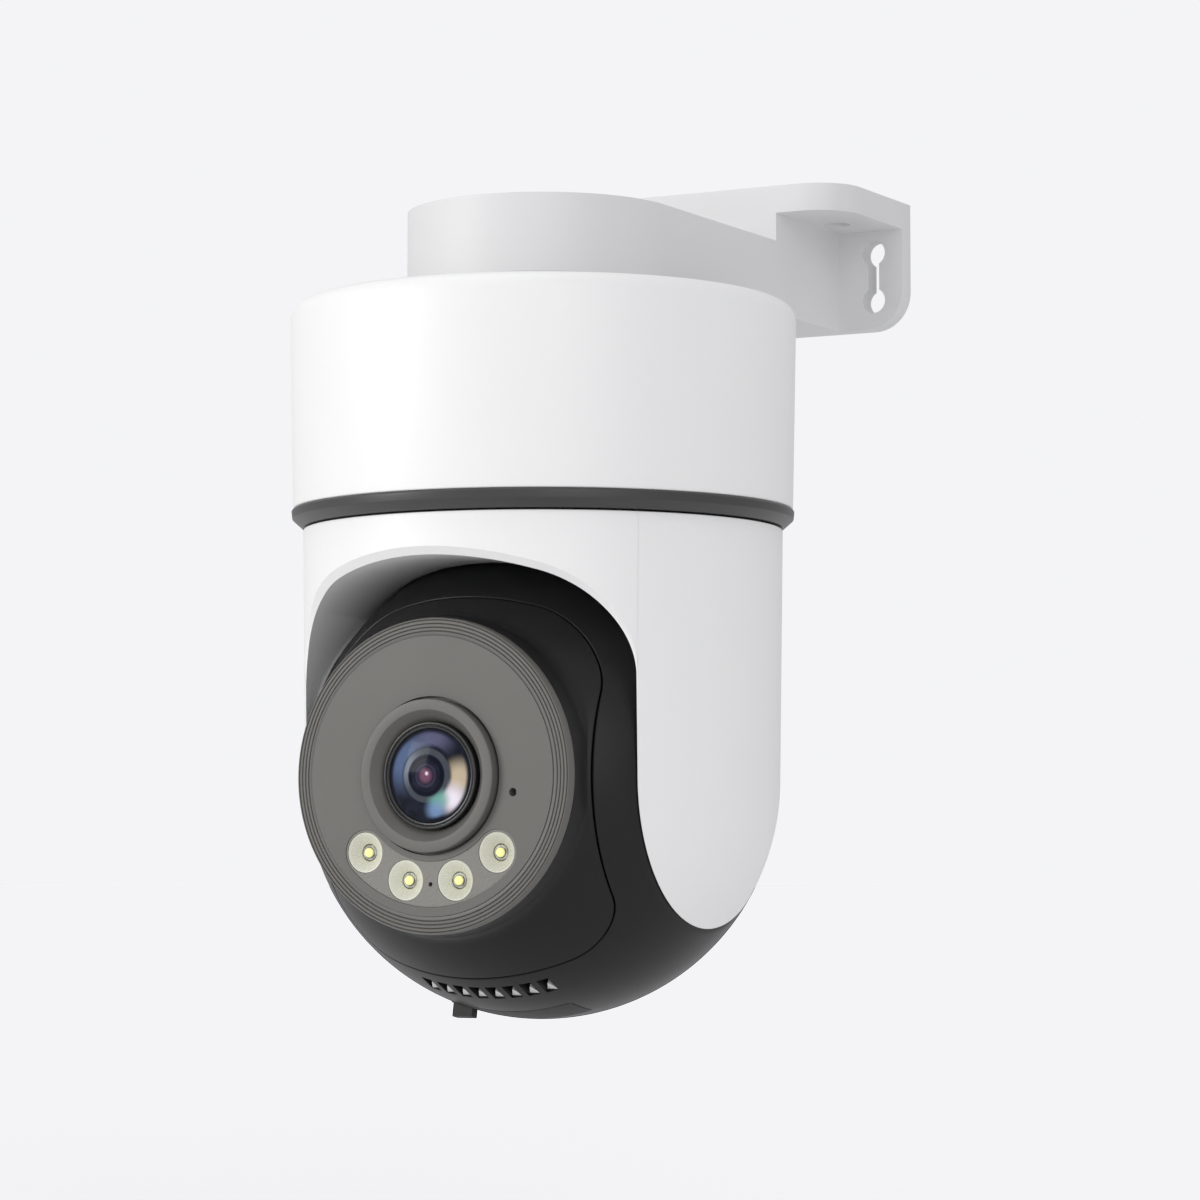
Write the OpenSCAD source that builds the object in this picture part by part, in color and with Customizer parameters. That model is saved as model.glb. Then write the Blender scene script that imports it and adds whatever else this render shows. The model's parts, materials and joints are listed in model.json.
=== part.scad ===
// Pan-tilt security camera on a wall bracket.
// The origin is on the wall face of the bracket, at the centre of its four wall screw holes.
// +Z is up, +Y points into the wall, so the camera looks along -Y.

/* [Bracket] */
// Height of the wall screws' centre over the drum's lower rim
rim_drop = 51.4; // [50:0.1:53]
// Distance from the wall to the pan axis
reach = 79.6; // [76:0.2:96]
// Radius of the round seat that carries the drum
seat_r = 25.15; // [24:0.05:27]
// Height of the seat and the arm
arm_h = 14.2; // [12:0.1:18]
// Half of the width of the wings
wing_w = 38.7; // [37.5:0.1:44]
// Thickness of the top wing
wing_t = 5.3; // [4:0.1:6]
// Length of the wing, out from the wall
wing_d = 33; // [28:0.5:36]
// Thickness of the plate against the wall
wall_t = 4.1; // [3:0.1:5]
// Half of the distance between the left and right screw holes
hole_x = 32.5; // [31.5:0.1:34]
// Height between the upper and lower screw holes
hole_dz = 9.5; // [8:0.1:10]
// Radius of the screw holes
hole_r = 2.45; // [2:0.05:2.6]

/* [Drum] */
// Radius of the drum at its lower rim
drum_r = 46; // [45.8:0.1:46.4]
// Radius of the drum just under its top edge
drum_top_r = 46.74; // [46.5:0.02:47]
// Height of the drum
drum_h = 37.9; // [37:0.1:40]
// Rounding of the top edge
drum_edge = 3.1; // [2:0.1:4]
// Thickness of the drum's wall
drum_wall = 2.4; // [2.2:0.1:2.6]
// Thickness of the drum's top
drum_top_t = 2.6; // [2.4:0.1:3]
// Height of the black trim ring
ring_h = 3.3; // [3:0.1:4]

/* [Fork] */
// Radius of the fork under the trim ring
fork_r = 44.1; // [43.9:0.1:44.4]
// Distance from the drum's rim down to the tilt axis
tilt_drop = 49.5; // [49.3:0.1:50.5]
// Radius of the ball that ends the fork and makes the head
ball_r = 43.5; // [43.3:0.05:43.6]
// Half of the width between the cheeks
cheek_x = 34.2; // [34.1:0.05:34.6]
// Height of the arch over the tilt axis
arch_h = 38.5; // [37.5:0.1:38.8]
// Radius of the arch's shallow top
arch_r = 70; // [66:1:76]
// Radius of the arch's corners
arch_corner = 19.5; // [18:0.5:20]

/* [Head] */
// Half of the width of the head between its flat sides
head_x = 33.85; // [33.5:0.05:33.9]
// Thickness of the head's shells
shell_t = 2.2; // [2:0.1:2.4]
// Half of the width of the front cover
cover_x = 28.5; // [27:0.1:29]
// Angle from straight ahead up to the front cover's top edge
cover_up = 47.2; // [46:0.2:48]
// Angle from straight ahead down to the front cover's bottom edge
cover_down = 55.3; // [54:0.1:55.5]
// Radius of the front cover's corners
cover_corner = 10; // [9:0.5:12]
// Distance from the tilt axis to the face
face_y = 39.9; // [39.5:0.1:41]
// Radius of the face
face_r = 27.7; // [27:0.1:28]
// Radius of the snout where it leaves the ball
snout_r = 28.2; // [27.9:0.1:28.4]
// Radius of the circle that the four LEDs are on
led_ring_r = 18.9; // [18.5:0.1:19.3]

/* [Drives] */
// Teeth on the pan gear
pan_teeth = 60; // [60:2:60]
// Teeth on each pinion
pinion_teeth = 14; // [14:2:14]
// Teeth on the tilt gear
tilt_teeth = 42; // [42:2:42]
// Module of the pan gears
pan_module = 0.7; // [0.7:0.01:0.72]
// Module of the tilt gears
tilt_module = 0.6; // [0.58:0.01:0.62]

/* [Hidden] */
$fn = 72;

white = [0.93, 0.93, 0.92];
bracket_white = [0.86, 0.86, 0.85];
black = [0.11, 0.11, 0.115];
rubber_black = [0.07, 0.07, 0.07];
face_grey = [0.45, 0.445, 0.42];
steel = [0.72, 0.73, 0.75];
board_green = [0.10, 0.32, 0.20];
nylon = [0.88, 0.86, 0.80];

run = 0.05;                           // radial clearance of a running fit
gap = 0.3;                            // clearance between faces that pass each other
seat_drop = 3;                        // from the seat down to the drum's flat top
pan_z = -rim_drop;                    // height of the drum's lower rim
tilt_z = pan_z - tilt_drop;
seat_z = drum_h + seat_drop;          // underside of seat and arm, over the rim
seat_top = seat_z + arm_h;
wing_top = seat_top + 10.7;
wing_under = wing_top - wing_t;

base_z = 0.5;                         // underside of the drum's base plate
base_t = 2.5;
base_r = drum_r - drum_wall - 0.25;
base_screw_r = 38;
hub_r = 12;
bush_r = 14.5;
gear_z = 5;
gear_t = 4;
pan_gear_r = pan_module * pan_teeth / 2;
pan_pinion_r = pan_module * pinion_teeth / 2;
pan_centres = pan_gear_r + pan_pinion_r;
pan_can_r = 12;
pan_can_shift = 6.4;                  // shaft to can centre, towards the pan axis
pan_ear = 15.5;
motor_z = 10.4;
board_z = 12;
board_box = [24, 32];                 // the power board, X and Y
board_at = [-34, -24];                // its corner, from the pan axis

cavity_r = ball_r + gap;              // the hollow of the fork that the ball turns in
crown_z = -ring_h - gap;              // top of the fork, under the rim
pocket_r = 19;                        // hollow in each cheek
cover_plate_r = 21.5;
cover_plate_t = 1.8;
spindle_r = 5;
axle_r = 4;
tilt_bush_r = 7;
tilt_gear_x = 24;
tilt_gear_t = 3.5;
tilt_gear_r = tilt_module * tilt_teeth / 2;
tilt_pinion_r = tilt_module * pinion_teeth / 2;
tilt_centres = tilt_gear_r + tilt_pinion_r;
tilt_can_r = 9;
tilt_ear = 12;

inner_r = ball_r - shell_t;           // inside of the head's shells
flank_round = 2.6;
boss_at = [[21, 19], [-21, 19], [21, -22], [-21, -22]];
boss_r = 3.2;
vent_count = 8;
vent_step = 3.4;
vent_aim = 28;                        // direction of the slots, forward from straight down
cap_aim = 10.6;                       // direction of the service cap, the same way
cap_low_x = -14.2;
cap_high_x = 12.4;
cap_w = 8.2;
cap_t = 1.5;
face_t = 2;
collar_r = 13.4;
collar_h = 1.3;
recess_r = 11.5;
glass_r = 7.9;
holder_y = -19;                       // front of the sensor board
board_y = -4.5;                       // front of the main board
led_angles = [-45, -15.5, 15.5, 45];  // round the face, from straight down
window_in = 14.9;
window_out = 22.9;
mic_at = [16.6, -3];

// ---- frames ----
module at_pan() translate([0, -reach, pan_z]) children();
module at_tilt() translate([0, -reach, tilt_z]) children();
// Turns an object on +Z so that it faces forward, with its own +Y upward
module face_forward() rotate([90, 0, 0]) children();
module sideways() rotate([0, 90, 0]) children();

// ---- shared shapes ----
function arc(r, from, to, steps, centre = [0, 0]) =
    [for (i = [0:steps]) let (a = from + (to - from) * i / steps)
        [centre[0] + r * cos(a), centre[1] + r * sin(a)]];

// One gear tooth at a time: root, pitch and tip, on both flanks
module gear_outline(teeth, m, slack) {
    r = m * teeth / 2;
    root = r - 1.2 * m;
    tip = r + 0.8 * m;
    half_pitch = (PI * m / 4 - slack / 2) / r * 180 / PI;
    half_tip = (0.48 * m - slack / 2) / tip * 180 / PI;
    half_root = min(1.12 * m / root * 180 / PI, 175 / teeth);
    polygon([for (i = [0:teeth - 1])
        for (p = [[-half_root, root], [-half_pitch, r], [-half_tip, tip],
                  [half_tip, tip], [half_pitch, r], [half_root, root]])
            let (a = i * 360 / teeth + p[0]) [p[1] * cos(a), p[1] * sin(a)]]);
}

// A screw along -Z with its head's top at z = 0
module screw(head_r, head_t, shank_r, length) {
    difference() {
        translate([0, 0, -head_t]) cylinder(r = head_r, h = head_t, $fn = 32);
        for (a = [0, 90]) rotate(a)
            translate([-head_r * 0.6, -head_r * 0.12, -head_t * 0.5])
                cube([head_r * 1.2, head_r * 0.24, head_t]);
    }
    translate([0, 0, -length]) cylinder(r = shank_r, h = length - head_t, $fn = 24);
}

module ring(r_out, r_in, h) {
    difference() {
        cylinder(r = r_out, h = h);
        translate([0, 0, -1]) cylinder(r = r_in, h = h + 2);
    }
}

// A rounded rectangle whose four corners have one radius
module round_box_2d(x0, x1, y0, y1, r) {
    translate([x0 + r, y0]) square([x1 - x0 - 2 * r, y1 - y0]);
    translate([x0, y0 + r]) square([x1 - x0, y1 - y0 - 2 * r]);
    for (x = [x0 + r, x1 - r]) for (y = [y0 + r, y1 - r]) translate([x, y]) circle(r = r);
}

// The opening between the cheeks, seen along Y: straight sides, round corners, shallow top
module arch_2d() {
    corner_x = cheek_x - arch_corner;
    corner_y = arch_h - arch_r + sqrt(pow(arch_r - arch_corner, 2) - corner_x * corner_x);
    top_a = asin(corner_x / (arch_r - arch_corner));
    polygon(concat(
        [[cheek_x, -2 * ball_r]],
        arc(arch_corner, 0, 90 - top_a, 10, [corner_x, corner_y]),
        arc(arch_r, 90 - top_a, 90 + top_a, 12, [0, arch_h - arch_r]),
        arc(arch_corner, 90 + top_a, 180, 10, [-corner_x, corner_y]),
        [[-cheek_x, -2 * ball_r]]));
}

// Outline of the front cover, seen along Y. Its top and bottom edges keep one angle about the
// tilt axis, so they curve with the ball.
module cover_2d(grow) {
    per_mm = 180 / PI / (ball_r - 6);     // degrees about the axis for a millimetre of height
    turn = cover_corner + grow;
    x = cover_x - cover_corner;
    up = cover_up - cover_corner * per_mm;
    down = cover_down - cover_corner * per_mm;
    function corner(sx, a, from) = [for (i = [0:6]) let (b = from + i * 15)
        [sx * x + turn * cos(b), a + turn * per_mm * sin(b)]];
    function edge(from, to, a) = [for (i = [1:9]) [from + (to - from) * i / 10, a]];
    polygon([for (p = concat(corner(1, up, 0), edge(x, -x, up + turn * per_mm),
        corner(-1, up, 90), corner(-1, -down, 180), edge(-x, x, -down - turn * per_mm),
        corner(1, -down, 270)))
            [p[0], sqrt(pow(ball_r, 2) - p[0] * p[0]) * sin(p[1])]]);
}

// The LEDs' curved window, seen along Y: an arc slot with round ends
module window_2d(grow) {
    middle = (window_in + window_out) / 2;
    half = (window_out - window_in) / 2 + grow;
    end = led_angles[3];
    intersection() {
        difference() {
            circle(r = middle + half);
            circle(r = middle - half);
        }
        polygon([[0, 0], [-3 * middle * sin(end), -3 * middle * cos(end)],
                 [3 * middle * sin(end), -3 * middle * cos(end)]]);
    }
    for (s = [-1, 1])
        translate([s * middle * sin(end), -middle * cos(end)]) circle(r = half);
}

module at_leds() {
    for (a = led_angles)
        translate([led_ring_r * sin(a), 0, -led_ring_r * cos(a)]) children();
}

// ---- fixed side ----
module wall_bracket() color(bracket_white) {
    edge = 2;
    front = 9;
    low = 7.5;
    block_y = reach - wing_d;
    difference() {
        union() {
            at_pan() {
                // seat
                translate([0, 0, seat_z]) rotate_extrude() polygon(concat(
                    [[0, 0], [seat_r, 0]],
                    arc(edge, 0, 90, 6, [seat_r - edge, arm_h - edge]), [[0, arm_h]]));
                // arm, with rounded upper edges
                translate([-seat_r, 0, seat_z]) cube([2 * seat_r, reach, arm_h - edge]);
                translate([-seat_r + edge, 0, seat_z])
                    cube([2 * (seat_r - edge), reach, arm_h]);
                for (s = [-1, 1])
                    translate([s * (seat_r - edge), 0, seat_top - edge])
                        rotate([-90, 0, 0]) cylinder(r = edge, h = reach, $fn = 32);
                // riser under the wing
                translate([-seat_r, block_y, seat_z])
                    cube([2 * seat_r, wing_d, wing_under - seat_z + 0.5]);
                // wing
                translate([0, 0, wing_under]) linear_extrude(wing_t) difference() {
                    round_box_2d(-wing_w, wing_w, block_y, reach + front, front);
                    translate([-50, reach]) square([100, 20]);
                }
                // wall plate
                translate([0, reach, 0]) rotate([90, 0, 0]) linear_extrude(wall_t)
                    difference() {
                        round_box_2d(-wing_w, wing_w, seat_z, wing_top + low, low);
                        translate([-50, wing_top]) square([100, 20]);
                    }
            }
        }
        // wall screw slots: two holes joined by a narrow neck
        for (x = [-hole_x, hole_x]) {
            for (z = [-hole_dz / 2, hole_dz / 2])
                translate([x, 1, z]) rotate([90, 0, 0]) cylinder(r = hole_r, h = wall_t + 2);
            translate([x - 1.2, -wall_t - 1, -hole_dz / 2])
                cube([2.4, wall_t + 2, hole_dz]);
        }
        // ceiling screw holes
        for (x = [-ceiling_x, ceiling_x])
            translate([x, ceiling_y, pan_z + wing_under - 1])
                cylinder(r = hole_r, h = wing_t + 2);
        // blind holes for the drum's screws
        at_pan() at_bracket_screws() translate([0, 0, seat_z - 1])
            cylinder(r = 1.3, h = 11, $fn = 32);
    }
}
ceiling_x = 29.5;
ceiling_y = 65 - reach;

module at_bracket_screws()
    for (a = [90, 210, 330]) rotate(a) translate([15, 0, 0]) children();

module bracket_screws() color(steel)
    at_pan() at_bracket_screws() translate([0, 0, drum_h - drum_top_t - 1.8])
        mirror([0, 0, 1]) screw(2.8, 1.8, 1.25, 13);

module drum_housing() color(white) at_pan() difference() {
    top_in = drum_h - drum_top_t;
    union() {
        rotate_extrude($fn = 120) polygon(concat(
            [[drum_r - drum_wall, 0], [drum_r, 0]],
            arc(drum_edge, 0, 90, 8, [drum_top_r - drum_edge, drum_h - drum_edge]),
            [[24, drum_h], [24, seat_z], [0, seat_z], [0, top_in],
             [drum_r - drum_wall, top_in]]));
        // ledge that the seal is pressed against
        translate([0, 0, base_z + base_t + 1]) ring(drum_r - drum_wall + 0.5, 41.4, 2);
        // pillars for the base screws
        at_base_screws() translate([0, 0, base_z + base_t])
            cylinder(r = 3.9, h = top_in - base_z - base_t + 0.5);
        // flat pad for the cable gland
        translate([0, drum_r - 5, gland_z]) rotate([-90, 0, 0]) cylinder(r = 8.4, h = 6.6);
    }
    at_base_screws() translate([0, 0, -1]) cylinder(r = 1.25, h = 16, $fn = 32);
    at_bracket_screws() translate([0, 0, drum_h - 5]) cylinder(r = 1.6, h = 12, $fn = 32);
    translate([0, drum_r - 8, gland_z]) rotate([-90, 0, 0]) cylinder(r = 5, h = 12);
}
gland_z = 22;

module at_base_screws()
    for (a = [30, 150, 270]) rotate(a) translate([base_screw_r, 0, 0]) children();

module drum_base() color(bracket_white) at_pan() difference() {
    union() {
        translate([0, 0, base_z]) cylinder(r = base_r, h = base_t);
        // posts for the pan motor's ears
        for (y = [-pan_ear, pan_ear])
            translate([pan_centres - pan_can_shift, y, base_z + 0.5])
                cylinder(r = 2.4, h = motor_z - base_z - 0.5);
        // standoffs for the power board
        at_board_screws() translate([0, 0, base_z + 0.5])
            cylinder(r = 2.2, h = board_z - base_z - 0.5);
    }
    translate([0, 0, -1]) cylinder(r = bush_r, h = 6);
    at_base_screws() {
        translate([0, 0, -1]) cylinder(r = 1.6, h = 8, $fn = 32);
        translate([0, 0, -1]) cylinder(r = 2.8, h = 2.6, $fn = 32);
    }
    for (y = [-pan_ear, pan_ear])
        translate([pan_centres - pan_can_shift, y, 4.5])
            cylinder(r = 0.9, h = 8, $fn = 24);
    at_board_screws() translate([0, 0, 5]) cylinder(r = 0.8, h = 9, $fn = 24);
}

module base_screws() color(steel) at_pan() at_base_screws()
    translate([0, 0, 0.35]) mirror([0, 0, 1]) screw(2.6, 1.25, 1.2, 12);

module drum_seal() color(rubber_black) at_pan()
    translate([0, 0, base_z + base_t + 0.5])
        rotate_extrude($fn = 120) translate([42.4, 0]) circle(r = 0.5, $fn = 20);

module trim_ring() color(black) at_pan() rotate_extrude($fn = 120) polygon(concat(
    [[41, 0], [drum_r, 0]],
    arc(1.5, 18, -62, 8, [drum_r - 1.25, -1.5]),
    [[fork_r, -ring_h], [41, -ring_h]]));

module cable_gland() color(rubber_black) at_pan()
    translate([0, drum_r - 8, gland_z]) rotate([-90, 0, 0]) difference() {
        union() {
            cylinder(r = 4.95, h = 9.6);
            cylinder(r = 6.6, h = 1.6);
            translate([0, 0, 9.6]) cylinder(r = 7, h = 1.6);
            translate([0, 0, 11.2]) cylinder(r1 = 4.6, r2 = 3.6, h = 5);
        }
        translate([0, 0, -1]) cylinder(r = gland_bore, h = 20);
    }
gland_bore = 2.3;

module pan_bush() color(nylon) at_pan() {
    translate([0, 0, base_z]) ring(bush_r, hub_r + run, base_t);
    translate([0, 0, base_z + base_t]) ring(bush_r + 1.5, hub_r + run, 1);
}

module pan_motor() color(steel) at_pan() translate([pan_centres, 0, motor_z]) {
    difference() {
        union() {
            translate([-pan_can_shift, 0, 0]) cylinder(r = pan_can_r, h = 17);
            translate([-pan_can_shift - 3.2, -pan_ear, 0]) cube([6.4, 2 * pan_ear, 0.8]);
            for (y = [-pan_ear, pan_ear])
                translate([-pan_can_shift, y, 0]) cylinder(r = 3.2, h = 0.8);
        }
        for (y = [-pan_ear, pan_ear])
            translate([-pan_can_shift, y, -1]) cylinder(r = 1.2, h = 3, $fn = 24);
    }
    // plastic lead box on the side of the can
    translate([-pan_can_shift - 4, pan_can_r - 1, 3]) cube([8, 3, 8]);
    translate([0, 0, -1.2]) cylinder(r = 2.4, h = 1.3);
    translate([0, 0, -6.2]) cylinder(r = 1.2, h = 6.3, $fn = 24);
}

module pan_motor_screws() color(steel) at_pan()
    for (y = [-pan_ear, pan_ear])
        translate([pan_centres - pan_can_shift, y, motor_z + 2.0])
            screw(1.9, 1.2, 0.9, 6);

module at_board_screws() for (p = [[4, 5], [4, board_box[1] - 4], [20, 3]])
    translate([board_at[0] + p[0], board_at[1] + p[1], 0]) children();

module power_board() color(board_green) at_pan() difference() {
    translate([board_at[0], board_at[1], board_z]) cube([board_box[0], board_box[1], 1.6]);
    at_board_screws() translate([0, 0, board_z - 1]) cylinder(r = 1, h = 4, $fn = 24);
}

module power_parts() color(rubber_black) at_pan() translate([0, 0, board_z + 1.6]) {
    translate([board_at[0] + 8, board_at[1] + 8, 0]) cube([11, 11, 7]);
    translate([board_at[0] + 3, board_at[1] + 11, 0]) cylinder(r = 2.2, h = 8);
    translate([board_at[0] + 14, board_at[1] + 25, 0]) cylinder(r = 3.4, h = 10);
    translate([board_at[0] + 6, board_at[1] + 22, 0]) cube([4, 3, 1.5]);
}

module board_screws() color(steel) at_pan() at_board_screws()
    translate([0, 0, board_z + 2.6]) screw(1.6, 1, 0.8, 6);

// ---- fork ----
module fork_body() rotate_extrude($fn = 120) polygon(concat(
    [[0, crown_z + tilt_drop], [fork_r, crown_z + tilt_drop]],
    arc(ball_r, 0, -90, 24)));

module fork_housing() color(white) at_tilt() difference() {
    fork_body();
    // the way between the cheeks
    translate([0, 2 * ball_r, 0]) rotate([90, 0, 0]) linear_extrude(4 * ball_r) arch_2d();
    // round hollow for the top of the ball
    intersection() {
        sphere(r = cavity_r, $fn = 120);
        translate([-cheek_x, -ball_r * 2, 0]) cube([2 * cheek_x, 4 * ball_r, 2 * ball_r]);
    }
    // cheek hollows and the seats of their covers
    for (s = [-1, 1]) {
        translate([s * (cheek_x + 1.9), 0, 0]) rotate([0, 0, s < 0 ? 180 : 0]) sideways()
            cylinder(r1 = pocket_r, r2 = 9, h = 5.1);
        translate([s < 0 ? -cheek_x - cover_plate_t - 0.2 : cheek_x - 1, 0, 0]) sideways()
            cylinder(r = cover_plate_r + 0.15, h = cover_plate_t + 1.2);
        at_cheek_screws() translate([s * (cheek_x + 1), 0, 0])
            rotate([0, 0, s < 0 ? 180 : 0]) sideways() cylinder(r = 0.8, h = 2.4, $fn = 24);
    }
    // way for the leads, and the hub's screw holes
    translate([0, 0, ball_r - 6]) cylinder(r = 6, h = 12);
    at_hub_screws() translate([0, 0, crown_z + tilt_drop - 3.9])
        cylinder(r = 1, h = 5, $fn = 24);
}

module at_cheek_screws() for (a = [45:90:315]) rotate([a, 0, 0]) translate([0, 0, 20.2])
    children();

module at_hub_screws() for (a = [45:90:315]) rotate(a) translate([17.5, 0, 0]) children();

module pan_hub() color(nylon) at_pan() difference() {
    union() {
        translate([0, 0, crown_z]) cylinder(r = 20.5, h = 2.2);
        translate([0, 0, crown_z]) cylinder(r = hub_r, h = gear_z + gear_t + 1 - crown_z);
    }
    translate([0, 0, crown_z - 1]) cylinder(r = 6, h = 20);
    at_hub_screws() translate([0, 0, crown_z - 1]) cylinder(r = 1.3, h = 6, $fn = 24);
}

module hub_screws() color(steel) at_pan() at_hub_screws()
    translate([0, 0, crown_z + 3.4]) screw(2.1, 1.2, 1, 6.6);

module pan_gear() color(nylon) at_pan() translate([0, 0, gear_z]) difference() {
    linear_extrude(gear_t) gear_outline(pan_teeth, pan_module, 0.16);
    translate([0, 0, -1]) cylinder(r = hub_r, h = gear_t + 2);
    for (a = [0:60:300]) rotate(a) translate([16, 0, -1]) cylinder(r = 1.8, h = gear_t + 2);
}

module hub_retainer() color(steel) at_pan() translate([0, 0, gear_z + gear_t])
    difference() {
        ring(hub_r + 1.4, hub_r, 1);
        translate([-1.2, -hub_r - 2, -1]) cube([2.4, 3, 3]);
    }

module cheek_cover(side, bore) difference() {
    translate([side < 0 ? -cheek_x - cover_plate_t : cheek_x, 0, 0]) sideways()
        cylinder(r = cover_plate_r, h = cover_plate_t);
    translate([-cheek_x * 2, 0, 0]) sideways() cylinder(r = bore, h = cheek_x * 4);
    at_cheek_screws() {
        translate([side * cheek_x - 3, 0, 0]) sideways() cylinder(r = 0.9, h = 6, $fn = 24);
        translate([side * cheek_x - 0.6, 0, 0]) sideways() cylinder(r = 1.4, h = 1.2, $fn = 24);
    }
}
bush_out = 6;

module cheek_cover_left() color(white) at_tilt() cheek_cover(-1, bush_out);
module cheek_cover_right() color(white) at_tilt() cheek_cover(1, spindle_r);

module cheek_screws() color(steel) at_tilt() for (s = [-1, 1])
    at_cheek_screws() translate([s * (cheek_x + 0.05), 0, 0])
        rotate([0, s < 0 ? 90 : -90, 0]) screw(1.2, 0.5, 0.75, 3.2);

module tilt_spindle() color(steel) at_tilt() difference() {
    union() {
        translate([cheek_x + cover_plate_t, 0, 0]) sideways() cylinder(r = 8, h = 2);
        translate([tilt_gear_x - 1, 0, 0]) sideways()
            cylinder(r = spindle_r, h = cheek_x + cover_plate_t - tilt_gear_x + 2);
    }
    translate([0, 0, 0]) sideways() cylinder(r = 3, h = 60);
}

module tilt_gear() color(nylon) at_tilt() difference() {
    translate([tilt_gear_x, 0, 0]) rotate([90, 0, 90]) linear_extrude(tilt_gear_t)
        gear_outline(tilt_teeth, tilt_module, 0.16);
    translate([tilt_gear_x - 1, 0, 0]) sideways() cylinder(r = spindle_r, h = 8);
}

module axle_bush() color(nylon) at_tilt() {
    translate([-cheek_x - 4.5, 0, 0]) sideways() ring(bush_out, axle_r + run, 4.5);
    translate([-cheek_x - 3.3, 0, 0]) sideways() ring(bush_out + 1.8, axle_r + run, 1.5);
}

// ---- head ----
// The ball cut flat at both sides with a rounded edge, as half of its outline along X
module ball_outline(r, x, edge) {
    centre_x = x - edge;
    centre_y = sqrt(pow(r - edge, 2) - centre_x * centre_x);
    meet = atan2(centre_y, centre_x);
    polygon(concat([[-x, 0], [x, 0]], arc(edge, 0, meet, 6, [centre_x, centre_y]),
        arc(r, meet, 180 - meet, 30),
        arc(edge, 180 - meet, 180, 6, [-centre_x, centre_y])));
}

module ball_solid(r, x, edge) sideways() rotate([0, 0, 90]) rotate_extrude($fn = 120)
    rotate(90) intersection() {
        ball_outline(r, x, edge);
        translate([-100, 0]) square([200, 100]);
    }

module front_block(grow) translate([0, -10, 0]) rotate([90, 0, 0]) linear_extrude(50)
    cover_2d(grow);

module at_vents() for (i = [0:vent_count - 1])
    translate([(i - (vent_count - 1) / 2) * vent_step + 1, 0, 0])
        rotate([-vent_aim, 0, 0]) children();

module at_bosses() for (p = boss_at) translate([p[0], 0, p[1]]) children();

// The service cap's plan, looking along its own direction
module cap_block(grow, depth) rotate([-cap_aim, 0, 0])
    translate([cap_low_x - grow, -cap_w / 2 - grow, -ball_r - 1])
        cube([cap_high_x - cap_low_x + 2 * grow, cap_w + 2 * grow, depth + 1]);

module head_rear_shell() color(black) at_tilt() difference() {
    union() {
        difference() {
            ball_solid(ball_r, head_x, flank_round);
            ball_solid(inner_r, head_x - shell_t, flank_round);
            front_block(0);
        }
        // pillars that the long screws pass through
        intersection() {
            ball_solid(ball_r - 0.8, head_x - 1, flank_round);
            at_bosses() translate([0, 8, 0]) rotate([-90, 0, 0])
                cylinder(r = boss_r, h = 40);
        }
        // box behind the service cap
        intersection() {
            ball_solid(ball_r - 0.8, head_x - 1, flank_round);
            cap_block(1.6, 6.6);
        }
        // posts for the tilt motor's ears
        at_tilt_drive() at_tilt_ears() translate([19.8, 0, 0]) sideways()
            cylinder(r = 2.5, h = head_x - shell_t - 19);
        // collar round the tilt bush, and the seat of the axle
        translate([head_x - 5, 0, 0]) sideways() cylinder(r = 9, h = 4);
        translate([-head_x + 1, 0, 0]) sideways() cylinder(r = 7, h = 5);
    }
    at_vents() translate([-1.15, -2, -ball_r - 2]) cube([2.3, 4, 6]);
    cap_block(0.15, 5);
    at_bosses() {
        rotate([-90, 0, 0]) cylinder(r = 1.35, h = 60, $fn = 24);
        translate([0, 24, 0]) rotate([-90, 0, 0]) cylinder(r = 2.4, h = 40, $fn = 32);
    }
    translate([head_x - 7, 0, 0]) sideways() cylinder(r = tilt_bush_r, h = 10);
    at_tilt_drive() at_tilt_ears() translate([19, 0, 0]) sideways()
        cylinder(r = 0.8, h = 6, $fn = 24);
    translate([-head_x - 1, 0, 0]) sideways() cylinder(r = axle_r, h = 12);
    // reset button's hole, through the floor of the box
    rotate([-cap_aim, 0, 0]) translate([button_x, 0, -ball_r]) cylinder(r = 1.25, h = 12);
}
button_x = 5;

module head_front_cover() color(black) at_tilt() difference() {
    union() {
        difference() {
            intersection() {
                ball_solid(ball_r, head_x, flank_round);
                front_block(-0.15);
            }
            ball_solid(inner_r, head_x - shell_t, flank_round);
        }
        // snout
        translate([0, -32, 0]) face_forward()
            cylinder(r1 = snout_r + 0.1, r2 = face_r, h = face_y - face_t - 32, $fn = 120);
        // screw bosses
        intersection() {
            ball_solid(ball_r - 0.8, head_x - 1, flank_round);
            at_bosses() translate([0, 7.7, 0]) face_forward() cylinder(r = boss_r, h = 40);
        }
    }
    translate([0, -10, 0]) face_forward() cylinder(r = snout_r - 2.2, h = 26);
    translate([0, -30, 0]) face_forward() cylinder(r = face_r - 2.2, h = 20);
    at_bosses() translate([0, 9, 0]) face_forward() cylinder(r = 1, h = 22, $fn = 24);
}

module head_seal() color(rubber_black) at_tilt() difference() {
    intersection() {
        ball_solid(inner_r - 0.05, head_x - shell_t - 0.05, flank_round);
        front_block(0.2);
    }
    ball_solid(inner_r - 1.3, head_x - shell_t - 1.3, flank_round);
    front_block(-2);
}

module head_screws() color(steel) at_tilt() at_bosses()
    translate([0, 26, 0]) rotate([-90, 0, 0]) screw(2.2, 1.6, 1, 34);

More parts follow.
